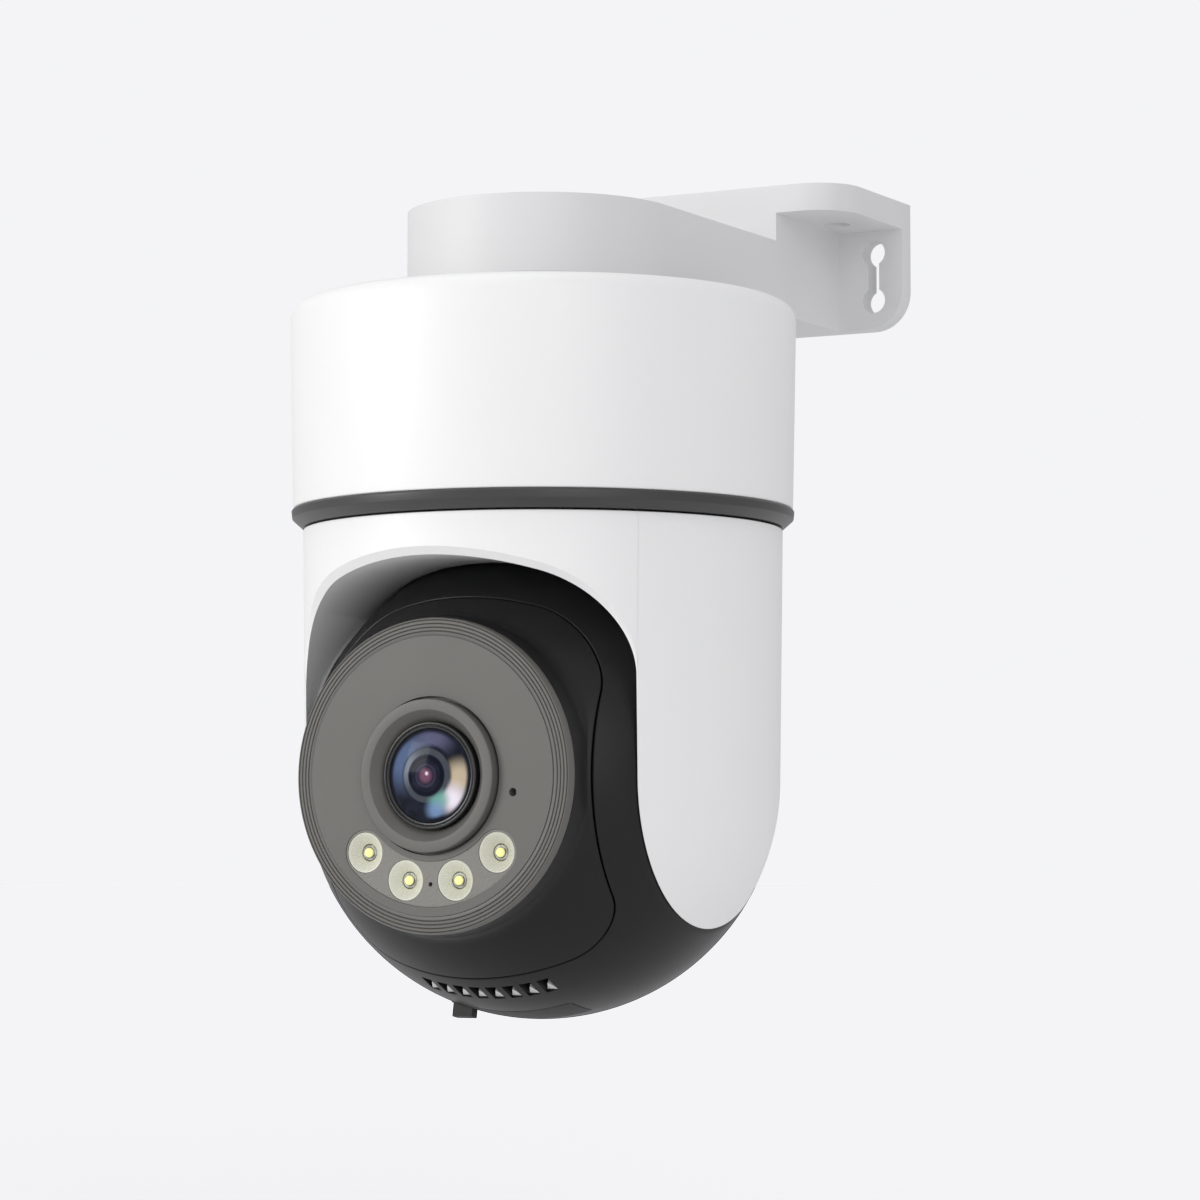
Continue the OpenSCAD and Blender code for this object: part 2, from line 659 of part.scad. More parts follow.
module face_plate() color(face_grey) at_tilt() translate([0, -face_y + face_t, 0])
    face_forward() difference() {
        rotate_extrude($fn = 120) polygon(concat(
            [[recess_r, 0], [face_r, 0], [face_r, face_t - 0.5]],
            [for (i = [0:3]) for (p = [[27.4, 0.42], [27.0, 0.2], [26.95, 0.42]])
                [p[0] - i * 0.75, face_t - p[1] + 0.02 * i]],
            [[24.6, face_t - 0.2], [24.5, face_t], [recess_r, face_t]]));
        translate([0, 0, -1]) linear_extrude(face_t + 2) window_2d(0);
        translate([mic_at[0], mic_at[1], -1]) cylinder(r = 0.6, h = face_t + 2, $fn = 24);
    }

module lens_collar() color(face_grey) at_tilt() translate([0, -face_y, 0]) face_forward()
    rotate_extrude($fn = 96) polygon([[recess_r - 0.1, 0], [collar_r, 0],
        [collar_r, collar_h - 0.3], [collar_r - 0.3, collar_h], [recess_r, collar_h],
        [9.7, -2.2], [9.7, -5], [recess_r - 0.1, -5]]);

module lens_retaining_ring() color(black) at_tilt() translate([0, -face_y, 0])
    face_forward() rotate_extrude($fn = 96) polygon([[glass_r + 0.1, -5], [9.6, -5],
        [9.6, -1.3], [9.2, -0.9], [8.5, -1.2], [glass_r + 0.1, -2.2]]);

module front_glass() color([0.25, 0.3, 0.45, 0.6]) at_tilt()
    translate([0, -face_y, 0]) face_forward() {
        dome_r = 11;
        intersection() {
            translate([0, 0, -1 - dome_r]) sphere(r = dome_r, $fn = 96);
            translate([0, 0, -4.6]) cylinder(r = glass_r, h = 5);
        }
    }

module lens_barrel() color(black) at_tilt() translate([0, -face_y, 0]) face_forward()
    rotate_extrude($fn = 96) polygon([[3.5, -5.8], [7.7, -5.1], [9.4, -5.1], [9.4, -8],
        [6, -8.4], [6, -16], [2.4, -16], [2.4, -8], [3.5, -7]]);

module lens_pupil() color([0.35, 0.12, 0.2]) at_tilt() translate([0, -face_y, 0])
    face_forward() translate([0, 0, -9.8]) rotate_extrude($fn = 48)
        polygon([[0, 0], [2.4, 0], [2.4, 1.2], [1.6, 1.6], [0, 1.8]]);

module lens_holder() color(black) at_tilt() difference() {
    translate([0, holder_y, 0]) face_forward() union() {
        translate([-8, -8, 0]) cube([16, 16, 5]);
        cylinder(r = 8, h = 11);
    }
    translate([0, holder_y + 1, 0]) face_forward() cylinder(r = 6.1, h = 20);
    // slideway for the filter, open at one side
    translate([-8.8, holder_y - 4.4, -4.2]) cube([17.8, 1.2, 8.4]);
}

module image_sensor() color([0.2, 0.25, 0.3]) at_tilt()
    translate([-3.4, holder_y - 1.2, -2.6]) cube([6.8, 1.2, 5.2]);

module sensor_board() color(board_green) at_tilt()
    translate([-15, holder_y, -13]) cube([30, 1.4, 26]);

module led_board() color(board_green) at_tilt() translate([0, -face_y + face_t + 3.6, 0])
    face_forward() linear_extrude(1.2) window_2d(0.8);

module led_emitters() color([0.95, 0.9, 0.45]) at_tilt() at_leds()
    translate([0, -face_y + face_t + 2.4, 0]) face_forward() {
        translate([-1.75, -1.75, 0]) cube([3.5, 3.5, 0.7]);
        translate([0, 0, 0.6]) intersection() {
            sphere(r = 1.3, $fn = 32);
            cylinder(r = 2, h = 2);
        }
    }

module led_reflectors() color([0.9, 0.9, 0.8]) at_tilt() at_leds()
    translate([0, -face_y + face_t + 2.4, 0]) face_forward() rotate_extrude($fn = 48)
        polygon([[2.6, 0], [3.5, 0], [3.5, 3.2], [3.3, 3.2], [2.6, 1.0]]);

module led_window() color([0.6, 0.6, 0.55, 0.5]) at_tilt()
    translate([0, -face_y + 1.0, 0]) face_forward() linear_extrude(0.8) window_2d(-0.05);

module microphone() color(steel) at_tilt()
    translate([mic_at[0] - 1.5, -face_y + face_t + 0.1, mic_at[1] - 2]) cube([3, 1.1, 4]);

module light_sensor() color([0.3, 0.3, 0.32]) at_tilt()
    translate([0, -face_y + face_t + 2.4, -led_ring_r]) face_forward() {
        translate([-0.8, -0.8, 0]) cube([1.6, 1.6, 0.8]);
        translate([0, 0, 0.8]) cylinder(r = 0.6, h = 0.5, $fn = 24);
    }

module main_board() color(board_green) at_tilt() translate([-22, board_y, -15])
    cube([42, 1.6, 30]);

module board_spacers() color(steel) at_tilt() for (x = [-13, 13]) for (z = [-11, 11])
    translate([x, holder_y + 1.4, z]) rotate([-90, 0, 0])
        cylinder(r = 1.6, h = board_y - holder_y - 1.4, $fn = 24);

module heat_sink() color(steel) at_tilt() translate([-14, board_y + 1.6, -14]) {
    cube([16, 1.2, 16]);
    for (i = [0:5]) translate([i * 3, 1, 0]) cube([1, 3, 16]);
}

module speaker() color(rubber_black) at_tilt() rotate([-vent_aim - 2, 0, 0])
    translate([0, 0, -inner_r + 3.2]) {
        cylinder(r = 6.5, h = 3);
        translate([0, 0, 3]) cylinder(r = 4, h = 1.6);
    }

module card_socket() color(steel) at_tilt() rotate([-cap_aim, 0, 0])
    translate([-11.2, -2.2, -ball_r + 7.2]) cube([12, 2.4, 12]);

module wifi_antenna() color(board_green) at_tilt()
    translate([-head_x + shell_t + 0.05, 9, -10]) cube([0.8, 12, 20]);

module at_tilt_drive() translate([0, tilt_centres, 0]) children();
module at_tilt_ears() for (z = [-tilt_ear, tilt_ear]) translate([0, 0, z]) children();

module tilt_motor() color(steel) at_tilt() at_tilt_drive() {
    translate([4, 0, 0]) sideways() cylinder(r = tilt_can_r, h = 15);
    difference() {
        union() {
            translate([19, -3, -tilt_ear]) cube([0.8, 6, 2 * tilt_ear]);
            at_tilt_ears() translate([19, 0, 0]) sideways() cylinder(r = 3, h = 0.8);
        }
        at_tilt_ears() translate([18, 0, 0]) sideways() cylinder(r = 1, h = 3, $fn = 24);
    }
    translate([18.9, 0, 0]) sideways() cylinder(r = 1, h = 9.6, $fn = 24);
}

module tilt_motor_screws() color(steel) at_tilt() at_tilt_drive() at_tilt_ears()
    translate([18.1, 0, 0]) rotate([0, -90, 0]) screw(1.7, 0.9, 0.75, 5);

module tilt_axle() color(steel) at_tilt() difference() {
    union() {
        translate([-cheek_x - 4.4, 0, 0]) sideways() cylinder(r = axle_r, h = 11.6);
        translate([-head_x + 6, 0, 0]) sideways() cylinder(r = 6.5, h = 1.4);
    }
    translate([-60, 0, 0]) sideways() cylinder(r = 2.4, h = 60);
}

module tilt_bush() color(nylon) at_tilt() {
    translate([head_x - 5, 0, 0]) sideways() ring(tilt_bush_r, spindle_r + run, 5);
    translate([head_x - 6, 0, 0]) sideways() ring(tilt_bush_r + 1.6, spindle_r + run, 1);
}

// ---- pieces that move on their own ----
module pan_pinion() color(nylon) at_pan() translate([pan_centres, 0, gear_z - 0.4])
    difference() {
        linear_extrude(gear_t + 0.6) rotate(180 / pinion_teeth)
            gear_outline(pinion_teeth, pan_module, 0.16);
        translate([0, 0, -1]) cylinder(r = 1.2 + run, h = 8, $fn = 24);
    }

module tilt_pinion() color(nylon) at_tilt() at_tilt_drive()
    translate([tilt_gear_x - 0.3, 0, 0]) difference() {
        rotate([90, 0, 90]) linear_extrude(tilt_gear_t + 0.6)
            rotate(180 / pinion_teeth) gear_outline(pinion_teeth, tilt_module, 0.16);
        translate([-1, 0, 0]) sideways() cylinder(r = 1 + run, h = 8, $fn = 24);
    }

module service_cap() color(rubber_black) at_tilt() {
    intersection() {
        difference() {
            sphere(r = ball_r, $fn = 120);
            sphere(r = ball_r - cap_t, $fn = 120);
        }
        cap_block(-0.1, 6);
    }
    // plug that grips the mouth of the box, and the pull tab
    rotate([-cap_aim, 0, 0]) {
        translate([cap_low_x + 1.2, -cap_w / 2 + 1.2, -ball_r + cap_t + 0.4])
            cube([cap_high_x - cap_low_x - 2.4, cap_w - 2.4, 1.4]);
        translate([cap_low_x + 0.4, -0.9, -ball_r - 0.4]) cube([4, 1.8, 4.2]);
    }
}

module reset_button() color([0.85, 0.85, 0.85]) at_tilt() rotate([-cap_aim, 0, 0])
    translate([button_x, 0, -ball_r + 4.4]) {
        cylinder(r = 1.2, h = 4.2, $fn = 32);
        translate([0, 0, 3.2]) cylinder(r = 1.9, h = 1, $fn = 32);
    }

module ir_filter() color([0.6, 0.2, 0.25, 0.6]) at_tilt()
    translate([-8.6, holder_y - 4.1, -3.9]) difference() {
        cube([14.6, 0.6, 7.8]);
        translate([3.5, -1, 3.9]) rotate([-90, 0, 0]) cylinder(r = 2.6, h = 3);
    }

wall_bracket();
bracket_screws();
drum_housing();
drum_base();
drum_seal();
base_screws();
trim_ring();
cable_gland();
pan_bush();
pan_motor();
pan_motor_screws();
power_board();
power_parts();
board_screws();
fork_housing();
pan_hub();
hub_screws();
pan_gear();
hub_retainer();
cheek_cover_left();
cheek_cover_right();
cheek_screws();
tilt_spindle();
tilt_gear();
axle_bush();
head_rear_shell();
head_front_cover();
head_seal();
head_screws();
face_plate();
lens_collar();
lens_retaining_ring();
front_glass();
lens_barrel();
lens_pupil();
lens_holder();
image_sensor();
sensor_board();
led_board();
led_emitters();
led_reflectors();
led_window();
microphone();
light_sensor();
main_board();
board_spacers();
heat_sink();
speaker();
card_socket();
wifi_antenna();
tilt_motor();
tilt_motor_screws();
tilt_axle();
tilt_bush();
pan_pinion();
tilt_pinion();
service_cap();
reset_button();
ir_filter();
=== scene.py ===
import json
from math import acos, asin, atan2, cos, degrees, pi, radians, sin, sqrt, tan

import bmesh
import bpy
import numpy as np
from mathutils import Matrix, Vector


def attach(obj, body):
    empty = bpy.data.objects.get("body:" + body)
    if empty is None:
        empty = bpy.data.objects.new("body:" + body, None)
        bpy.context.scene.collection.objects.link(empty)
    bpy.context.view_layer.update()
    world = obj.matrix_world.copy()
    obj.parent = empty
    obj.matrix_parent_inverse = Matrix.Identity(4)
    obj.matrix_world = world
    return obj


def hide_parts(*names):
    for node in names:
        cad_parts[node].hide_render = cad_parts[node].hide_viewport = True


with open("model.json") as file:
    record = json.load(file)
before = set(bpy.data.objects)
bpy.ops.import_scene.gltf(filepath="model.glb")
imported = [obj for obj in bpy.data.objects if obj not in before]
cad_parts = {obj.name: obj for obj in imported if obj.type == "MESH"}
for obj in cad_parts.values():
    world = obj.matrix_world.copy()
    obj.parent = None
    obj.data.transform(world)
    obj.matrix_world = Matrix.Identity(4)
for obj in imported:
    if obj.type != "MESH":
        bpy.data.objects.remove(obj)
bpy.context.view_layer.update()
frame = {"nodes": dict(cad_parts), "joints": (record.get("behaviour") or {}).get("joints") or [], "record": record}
joints = {j["name"]: j for j in frame["joints"]}
panPoint = Vector(joints["pan"]["pos_m"])      # pan axis, at the drum's lower rim
tiltPoint = Vector(joints["tilt"]["pos_m"])    # centre of the ball
mm = 0.001
print("frame loaded:", len(frame["nodes"]), "nodes")


# modelling helpers: pieces are drawn in millimetres round their own centre

def deselect():
    if bpy.context.object and bpy.context.object.mode != "OBJECT":
        bpy.ops.object.mode_set(mode="OBJECT")
    bpy.ops.object.select_all(action="DESELECT")


def pick(obj):
    deselect()
    obj.select_set(True)
    bpy.context.view_layer.objects.active = obj


def rounded(corners, steps=4):
    # an outline of (x, y, radius) corners, with each corner rounded
    points = []
    for i, (x, y, radius) in enumerate(corners):
        here = Vector((x, y))
        if not radius:
            points.append((x, y))
            continue
        before = (Vector(corners[i - 1][:2]) - here).normalized()
        after = (Vector(corners[(i + 1) % len(corners)][:2]) - here).normalized()
        half = acos(max(-1, min(1, before.dot(after)))) / 2
        centre = here + (before + after).normalized() * radius / sin(half)
        start = here + before * radius / tan(half) - centre
        end = here + after * radius / tan(half) - centre
        first = atan2(start.y, start.x)
        sweep = (atan2(end.y, end.x) - first + pi) % (2 * pi) - pi
        for k in range(steps + 1):
            a = first + sweep * k / steps
            points.append((centre.x + radius * cos(a), centre.y + radius * sin(a)))
    return points


def arc(radius, start, end, steps, centre=(0, 0)):
    return [(centre[0] + radius * cos(radians(start + (end - start) * i / steps)),
             centre[1] + radius * sin(radians(start + (end - start) * i / steps)))
            for i in range(steps + 1)]


def turned(name, outline, steps=96):
    # a closed outline of (radius, height) spun round Z
    deselect()
    bpy.ops.mesh.primitive_circle_add(vertices=len(outline), radius=1)
    obj = bpy.context.object
    obj.name = obj.data.name = name
    bpy.ops.object.mode_set(mode="EDIT")
    mesh = bmesh.from_edit_mesh(obj.data)
    for vert, (r, h) in zip(mesh.verts, outline):
        vert.co = (r, 0, h)
    bmesh.update_edit_mesh(obj.data)
    bpy.ops.mesh.select_all(action="SELECT")
    bpy.ops.mesh.spin(steps=steps, angle=2 * pi, center=(0, 0, 0), axis=(0, 0, 1))
    closeUp()
    return obj


def closeUp():
    weld = 1e-4      # points nearer than this, in millimetres, are one
    bpy.ops.mesh.select_all(action="SELECT")
    bpy.ops.mesh.remove_doubles(threshold=weld)
    bpy.ops.mesh.dissolve_degenerate(threshold=weld / 10)
    bpy.ops.mesh.select_all(action="SELECT")
    bpy.ops.mesh.normals_make_consistent(inside=False)
    bpy.ops.object.mode_set(mode="OBJECT")


def wrapped(name, rows, mirrored=""):
    # a grid bent so that each of its rows lies on one row of points
    deselect()
    bpy.ops.mesh.primitive_grid_add(x_subdivisions=len(rows[0]) - 1,
                                    y_subdivisions=len(rows) - 1, size=2)
    obj = bpy.context.object
    obj.name = obj.data.name = name
    flat = np.empty(len(obj.data.vertices) * 3)
    obj.data.vertices.foreach_get("co", flat)
    flat = flat.reshape(-1, 3)
    order = np.lexsort((flat[:, 0].round(6), flat[:, 1].round(6)))
    flat[order] = np.array(rows, float).reshape(-1, 3)
    obj.data.vertices.foreach_set("co", flat.ravel())
    obj.data.update()
    if mirrored:
        modify(obj, "MIRROR", use_axis=["X" in mirrored, "Y" in mirrored, "Z" in mirrored],
               merge_threshold=1e-3)
    pick(obj)
    bpy.ops.object.mode_set(mode="EDIT")
    closeUp()
    return obj


def slab(name, outline, low, high):
    # a filled outline pulled up into a slab
    deselect()
    bpy.ops.mesh.primitive_circle_add(vertices=len(outline), radius=1, fill_type="NGON")
    obj = bpy.context.object
    obj.name = obj.data.name = name
    bpy.ops.object.mode_set(mode="EDIT")
    mesh = bmesh.from_edit_mesh(obj.data)
    for vert, (x, y) in zip(mesh.verts, outline):
        vert.co = (x, y, low)
    bmesh.update_edit_mesh(obj.data)
    bpy.ops.mesh.select_all(action="SELECT")
    bpy.ops.mesh.extrude_region_move(TRANSFORM_OT_translate={"value": (0, 0, high - low)})
    closeUp()
    return obj


def modify(obj, kind, **settings):
    pick(obj)
    mod = obj.modifiers.new(kind.lower(), kind)
    for key, value in settings.items():
        setattr(mod, key, value)
    bpy.ops.object.modifier_apply(modifier=mod.name)


def combine(obj, other, operation="DIFFERENCE"):
    modify(obj, "BOOLEAN", operation=operation, object=other, solver="EXACT")
    bpy.data.objects.remove(other)
    return obj


def turn(obj, x=0, y=0, move=(0, 0, 0)):
    pick(obj)
    obj.rotation_euler = (radians(x), radians(y), 0)
    obj.location = move
    bpy.ops.object.transform_apply(location=True, rotation=True, scale=True)
    return obj


def joined(*parts):
    deselect()
    for part in parts:
        part.select_set(True)
    bpy.context.view_layer.objects.active = parts[0]
    bpy.ops.object.join()
    return parts[0]


def copies(obj, places):
    # the piece is repeated at each (x, y), every copy with its own mesh, and joined into one
    parts = []
    for x, y in places:
        twin = obj.copy()
        twin.data = obj.data.copy()
        bpy.context.collection.objects.link(twin)
        parts.append(turn(twin, move=(x, y, 0)))
    name = obj.name
    bpy.data.objects.remove(obj)
    whole = joined(*parts)
    whole.name = whole.data.name = name
    return whole


def settle(obj, centre, material, body, node, smooth=35):
    # from millimetres to metres at its place, then the finish and the body that it rides on
    pick(obj)
    obj.location = centre
    obj.scale = (mm, mm, mm)
    bpy.ops.object.transform_apply(location=True, rotation=True, scale=True)
    bpy.ops.object.shade_smooth_by_angle(angle=radians(smooth))
    obj.data.materials.clear()
    obj.data.materials.append(material)
    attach(obj, body)
    if node:
        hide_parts(node)
    return obj


# shader helpers

class Wire:
    # one socket, so that shader maths reads as arithmetic
    def __init__(self, graph, socket):
        self.graph, self.socket = graph, socket

    def math(self, operation, *values):
        sockets = {f"at{i}": value for i, value in enumerate(values)}
        return self.graph.node("Math", settings={"operation": operation}, **sockets)

    def __add__(self, other): return self.math("ADD", self, other)
    def __radd__(self, other): return self.math("ADD", other, self)
    def __sub__(self, other): return self.math("SUBTRACT", self, other)
    def __rsub__(self, other): return self.math("SUBTRACT", other, self)
    def __mul__(self, other): return self.math("MULTIPLY", self, other)
    def __rmul__(self, other): return self.math("MULTIPLY", other, self)
    def __pow__(self, other): return self.math("POWER", self, other)
    def __rpow__(self, other): return self.math("POWER", other, self)

    def step(self, low, high):
        # 0 below low, 1 above high, smooth between
        return self.graph.node("MapRange", settings={"interpolation_type": "SMOOTHSTEP"},
                               at0=self, at1=low, at2=high, at3=0, at4=1)


class Graph:
    # the nodes of a material or of the world
    def __init__(self, owner):
        owner.use_nodes = True
        self.tree = owner.node_tree

    def plug(self, socket, value):
        if isinstance(value, Wire):
            self.tree.links.new(value.socket, socket)
        elif socket.type == "RGBA":
            socket.default_value = (*value, 1)
        else:
            socket.default_value = value

    def node(self, kind, out=0, settings=None, **values):
        # settings are set first; at3=... is the socket with that number
        node = self.tree.nodes.new("ShaderNode" + kind)
        for key, value in (settings or {}).items():
            setattr(node, key, value)
        for key, value in values.items():
            where = int(key[2:]) if key.startswith("at") else key.replace("_", " ")
            self.plug(node.inputs[where], value)
        if isinstance(out, tuple):
            return [Wire(self, node.outputs[one]) for one in out]
        return Wire(self, node.outputs[out])

    def blend(self, factor, a, b):
        return self.node("Mix", out=2, settings={"data_type": "RGBA"}, at0=factor, at6=a, at7=b)


class Finish(Graph):
    # a material, with constants on the shader and the rest through nodes
    def __init__(self, name, **constants):
        self.material = bpy.data.materials.new(name)
        super().__init__(self.material)
        self.shader = self.tree.nodes["Principled BSDF"]
        self.set(**constants)

    def set(self, **values):
        for key, value in values.items():
            self.plug(self.shader.inputs[key.replace("_", " ")], value)

    def place(self):
        return self.node("TexCoord", out="Object")

    def parts(self):
        return self.node("SeparateXYZ", out=(0, 1, 2), at0=self.place())

    def noise(self, scale, detail=2, roughness=0.5):
        return self.node("TexNoise", Vector=self.place(), Scale=scale, Detail=detail,
                         Roughness=roughness)

    def bump(self, height, strength, distance):
        self.set(Normal=self.node("Bump", Height=height, Strength=strength, Distance=distance))


plastic = {"flow": 18, "gloss": 60, "glossSpread": 0.08, "spark": 2600, "ripple": 900,
           "strength": 0.35}      # noise scales per metre, and how strong they are


def moulded(name, colour, roughness, grain, tint, **constants):
    # moulded plastic: fine spark texture, faint flow shading, slight uneven gloss
    finish = Finish(name, **constants)
    flow = finish.noise(plastic["flow"], 3).step(0.3, 0.7)
    spread = plastic["glossSpread"]
    darker = tuple(c * (1 - tint) for c in colour)
    finish.set(Base_Color=finish.blend(flow, darker, colour),
               Roughness=finish.noise(plastic["gloss"], 2) * spread + (roughness - spread / 2))
    finish.bump(finish.noise(plastic["spark"], 2) + finish.noise(plastic["ripple"], 1) * 0.5,
                plastic["strength"], grain)
    return finish.material


def metal(name, colour, roughness):
    finish = Finish(name, Metallic=1.0)
    brush = finish.noise(900, 2)
    darker = tuple(c * 0.9 for c in colour)
    finish.set(Base_Color=finish.blend(brush.step(0.3, 0.7), darker, colour),
               Roughness=brush * 0.15 + (roughness - 0.08))
    finish.bump(brush, 0.3, 0.00003)
    return finish.material


def circuit(name, mask, trace):
    # solder mask over copper: straight runs show as lighter bands
    finish = Finish(name, Coat_Weight=0.25)
    cells = finish.node("TexVoronoi", settings={"distance": "MANHATTAN", "feature": "F1"},
                        Vector=finish.place(), Scale=420.0)
    run = cells.math("FRACT", cells).step(0.42, 0.5)
    finish.set(Base_Color=finish.blend(run, trace, mask), Roughness=finish.noise(80) * 0.1 + 0.3)
    finish.bump(run, 0.5, 0.00004)
    return finish.material


# tints and painted reflections of the lens from the first to the last laid on, as band (low, high, soft edge),
# spot (x, z, radius, soft edge), strength and colour; the measures are in millimetres
lensTintsAndReflections = (
    ((4.9, 7.4, 0.5), (-5.2, 3.2, 4.6, 3.2), 0.9, (0.075, 0.11, 0.20)),     # painted blue reflection in the coating
    ((5.4, 7.6, 0.4), (1.0, 6.6, 3.0, 2.4), 0.7, (0.11, 0.11, 0.19)),       # painted violet reflection at the top
    ((3.7, 4.75, 0.15), None, 0.8, (0.055, 0.062, 0.075)),                  # inner element
    # painted reflection: the inner element lighter at the upper left
    ((3.7, 4.75, 0.15), (-4.0, 1.5, 2.6, 2.0), 1.0, (0.13, 0.15, 0.18)),
    ((2.9, 3.5, 0.12), None, 0.8, (0.004, 0.005, 0.012)),
    ((1.7, 2.1, 0.15), None, 0.8, (0.035, 0.03, 0.06)),
    ((4.9, 7.6, 0.35), (6.4, -0.4, 2.6, 1.8), 0.9, (0.46, 0.38, 0.27)),     # painted warm reflection
    ((4.6, 7.7, 0.4), (5.0, -4.2, 2.2, 1.8), 0.95, (0.72, 0.66, 0.74)),     # painted white highlight
    ((3.9, 6.6, 0.4), (2.4, -4.2, 1.7, 1.1), 0.85, (0.12, 0.30, 0.26)),     # painted green reflection
    ((4.6, 7.4, 0.4), (1.6, -6.2, 1.6, 1.2), 0.8, (0.16, 0.25, 0.42)),      # painted sky blue reflection
    (None, (0.0, 0.0, 1.2, 0.6), 0.8, (0.16, 0.07, 0.12)),                  # pupil
    (None, (0.25, 0.35, 0.3, 0.2), 0.8, (0.7, 0.62, 0.68)),                 # painted white highlight on the pupil
)


def glassWithPaintedReflections(name):
    # the coated stack seen through the front element: rings of the inner elements, with painted
    # reflections, blue on one side and warm and white on the other
    finish = Finish(name, Roughness=0.1, Specular_IOR_Level=0.06)
    x, _, z = finish.parts()
    x, z = x * 1000, (z - tiltPoint.z) * 1000
    r = (x * x + z * z) ** 0.5

    def spot(x0, z0, radius, soft):
        away = ((x - x0) * (x - x0) + (z - z0) * (z - z0)) ** 0.5
        return 1 - away.step(radius - soft, radius + soft)

    def band(low, high, soft):
        return r.step(low - soft, low + soft) * (1 - r.step(high - soft, high + soft))

    mist = finish.noise(500, 3).step(0.35, 0.65)
    colour = finish.blend(mist, (0.007, 0.008, 0.014), (0.012, 0.014, 0.024))
    for ring, patch, share, tint in lensTintsAndReflections:
        mask = band(*ring) if ring else 1
        if patch:
            mask = spot(*patch) * mask
        colour = finish.blend(mask * share, colour, tint)
    # painted glow: the lens emits its own colours, painted reflections included, though it is no lamp
    finish.set(Base_Color=colour, Emission_Color=colour, Emission_Strength=0.3)
    finish.bump(finish.noise(300, 1), 0.02, 0.00001)
    return finish.material


def ledDomeWithPaintedGlow(name):
    # clear moulded dome over a phosphor chip; the chip has a painted glow, yellow light of its own though the lamp
    # is off
    finish = Finish(name, Coat_Weight=0.6, Emission_Strength=0.35)
    _, y, _ = finish.parts()
    depth = (y - tiltPoint.y) * -1000
    chip = depth.step(38.35, 38.6)      # the chip lies this deep behind the face
    body = finish.blend(finish.noise(900, 1).step(0.4, 0.6), (0.34, 0.34, 0.33),
                        (0.62, 0.62, 0.6))
    colour = finish.blend(chip, body, (0.86, 0.84, 0.30))
    # painted glow of the unlit chip
    finish.set(Base_Color=colour, Emission_Color=finish.blend(chip, (0, 0, 0), (0.9, 0.88, 0.4)),
               Roughness=finish.noise(400, 1) * 0.1 + 0.12)
    return finish.material


finishes = {
    "white_shell": moulded("whiteShell", (0.86, 0.86, 0.855), 0.42, grain=0.00002, tint=0.015),
    "bracket_plastic": moulded("bracketPlastic", (0.70, 0.70, 0.705), 0.5, grain=0.00005,
                               tint=0.02),
    "black_shell": moulded("blackShell", (0.012, 0.012, 0.0125), 0.38, grain=0.00002, tint=0.1,
                           Specular_IOR_Level=0.24),
    "trim_black": moulded("trimBlack", (0.045, 0.043, 0.043), 0.38, grain=0.00003, tint=0.1),
    "rubber": moulded("rubber", (0.012, 0.012, 0.0125), 0.6, grain=0.00008, tint=0.15),
    "face_plastic": moulded("facePlastic", (0.115, 0.112, 0.102), 0.45, grain=0.00003, tint=0.03),
    "steel": metal("steel", (0.62, 0.62, 0.64), 0.34),
    "aluminium": metal("aluminium", (0.78, 0.78, 0.79), 0.42),
    "circuit_board": circuit("circuitBoard", (0.008, 0.07, 0.035), (0.02, 0.13, 0.07)),
    "nylon": moulded("nylon", (0.78, 0.75, 0.66), 0.5, grain=0.00005, tint=0.04),
    "chip": moulded("chipPackage", (0.022, 0.022, 0.024), 0.48, grain=0.00004, tint=0.1),
    "lens_black": moulded("lensBlack", (0.012, 0.012, 0.013), 0.3, grain=0.00001, tint=0.1),
    "pupil": moulded("pupilGlass", (0.16, 0.03, 0.07), 0.08, grain=0.0, tint=0.3),
    "led_phosphor": ledDomeWithPaintedGlow("phosphor"),
    "reflector": moulded("reflector", (0.70, 0.70, 0.59), 0.35, grain=0.0001, tint=0.25),
    "window": moulded("ledWindow", (0.21, 0.205, 0.185), 0.5, grain=0.0003, tint=0.12),
    "button_white": moulded("buttonWhite", (0.8, 0.8, 0.79), 0.45, grain=0.00003, tint=0.03),
    "lens_glass": glassWithPaintedReflections("lensGlass"),
    "filter_glass": moulded("filterGlass", (0.75, 0.35, 0.4), 0.08, grain=0.0, tint=0.05,
                            Transmission_Weight=0.8, IOR=1.5),
}
print("finishes made:", len(finishes))

for part in frame["record"]["subparts"]:
    cadObject = frame["nodes"][part["node"]]
    cadObject.data.materials.clear()
    cadObject.data.materials.append(finishes[part["material_slot"]])

# fixed side: drum, trim ring, cable gland and wall bracket
drum = {
    "rim": 46.0, "top": 46.74, "height": 37.9, "edge": 3.1, "wall": 2.4,
    "lid": 2.6, "neck": 24.0, "neckHeight": 40.9, "turns": 160, "inlet": 5.0,
    "inletHeight": 22.0,
}


def makeDrum():
    inner = drum["rim"] - drum["wall"]
    under = drum["height"] - drum["lid"]
    shell = turned("drumHousing", rounded([
        (inner, 0, 0.3), (drum["rim"], 0, 0.35), (drum["top"], drum["height"], drum["edge"]),
        (drum["neck"], drum["height"], 0.4), (drum["neck"], drum["neckHeight"], 0),
        (0, drum["neckHeight"], 0), (0, under, 0), (inner, under, 1.0)], 6), drum["turns"])
    bore, reach = drum["inlet"], 8
    inlet = turned("inlet", [(bore, -reach), (bore, reach), (0, reach), (0, -reach)], 48)
    combine(shell, turn(inlet, x=-90, move=(0, drum["rim"], drum["inletHeight"])))
    return settle(shell, panPoint, finishes["white_shell"], "root", "drum_housing")


ring = {"outer": 46.25, "height": 3.3, "lower": 44.1, "band": 1.75, "inner": 41.0}


def makeTrimRing():
    outline = rounded([
        (ring["inner"], 0, 0), (ring["outer"] - 0.4, 0, 0), (ring["outer"], -0.35, 0.25),
        (ring["outer"] - 0.15, -ring["band"], 0.35), (ring["lower"] + 0.25, -ring["height"], 0.25),
        (ring["inner"], -ring["height"], 0)], 4)
    return settle(turned("trimRing", outline, 160), panPoint, finishes["trim_black"], "root",
                  "trim_ring")


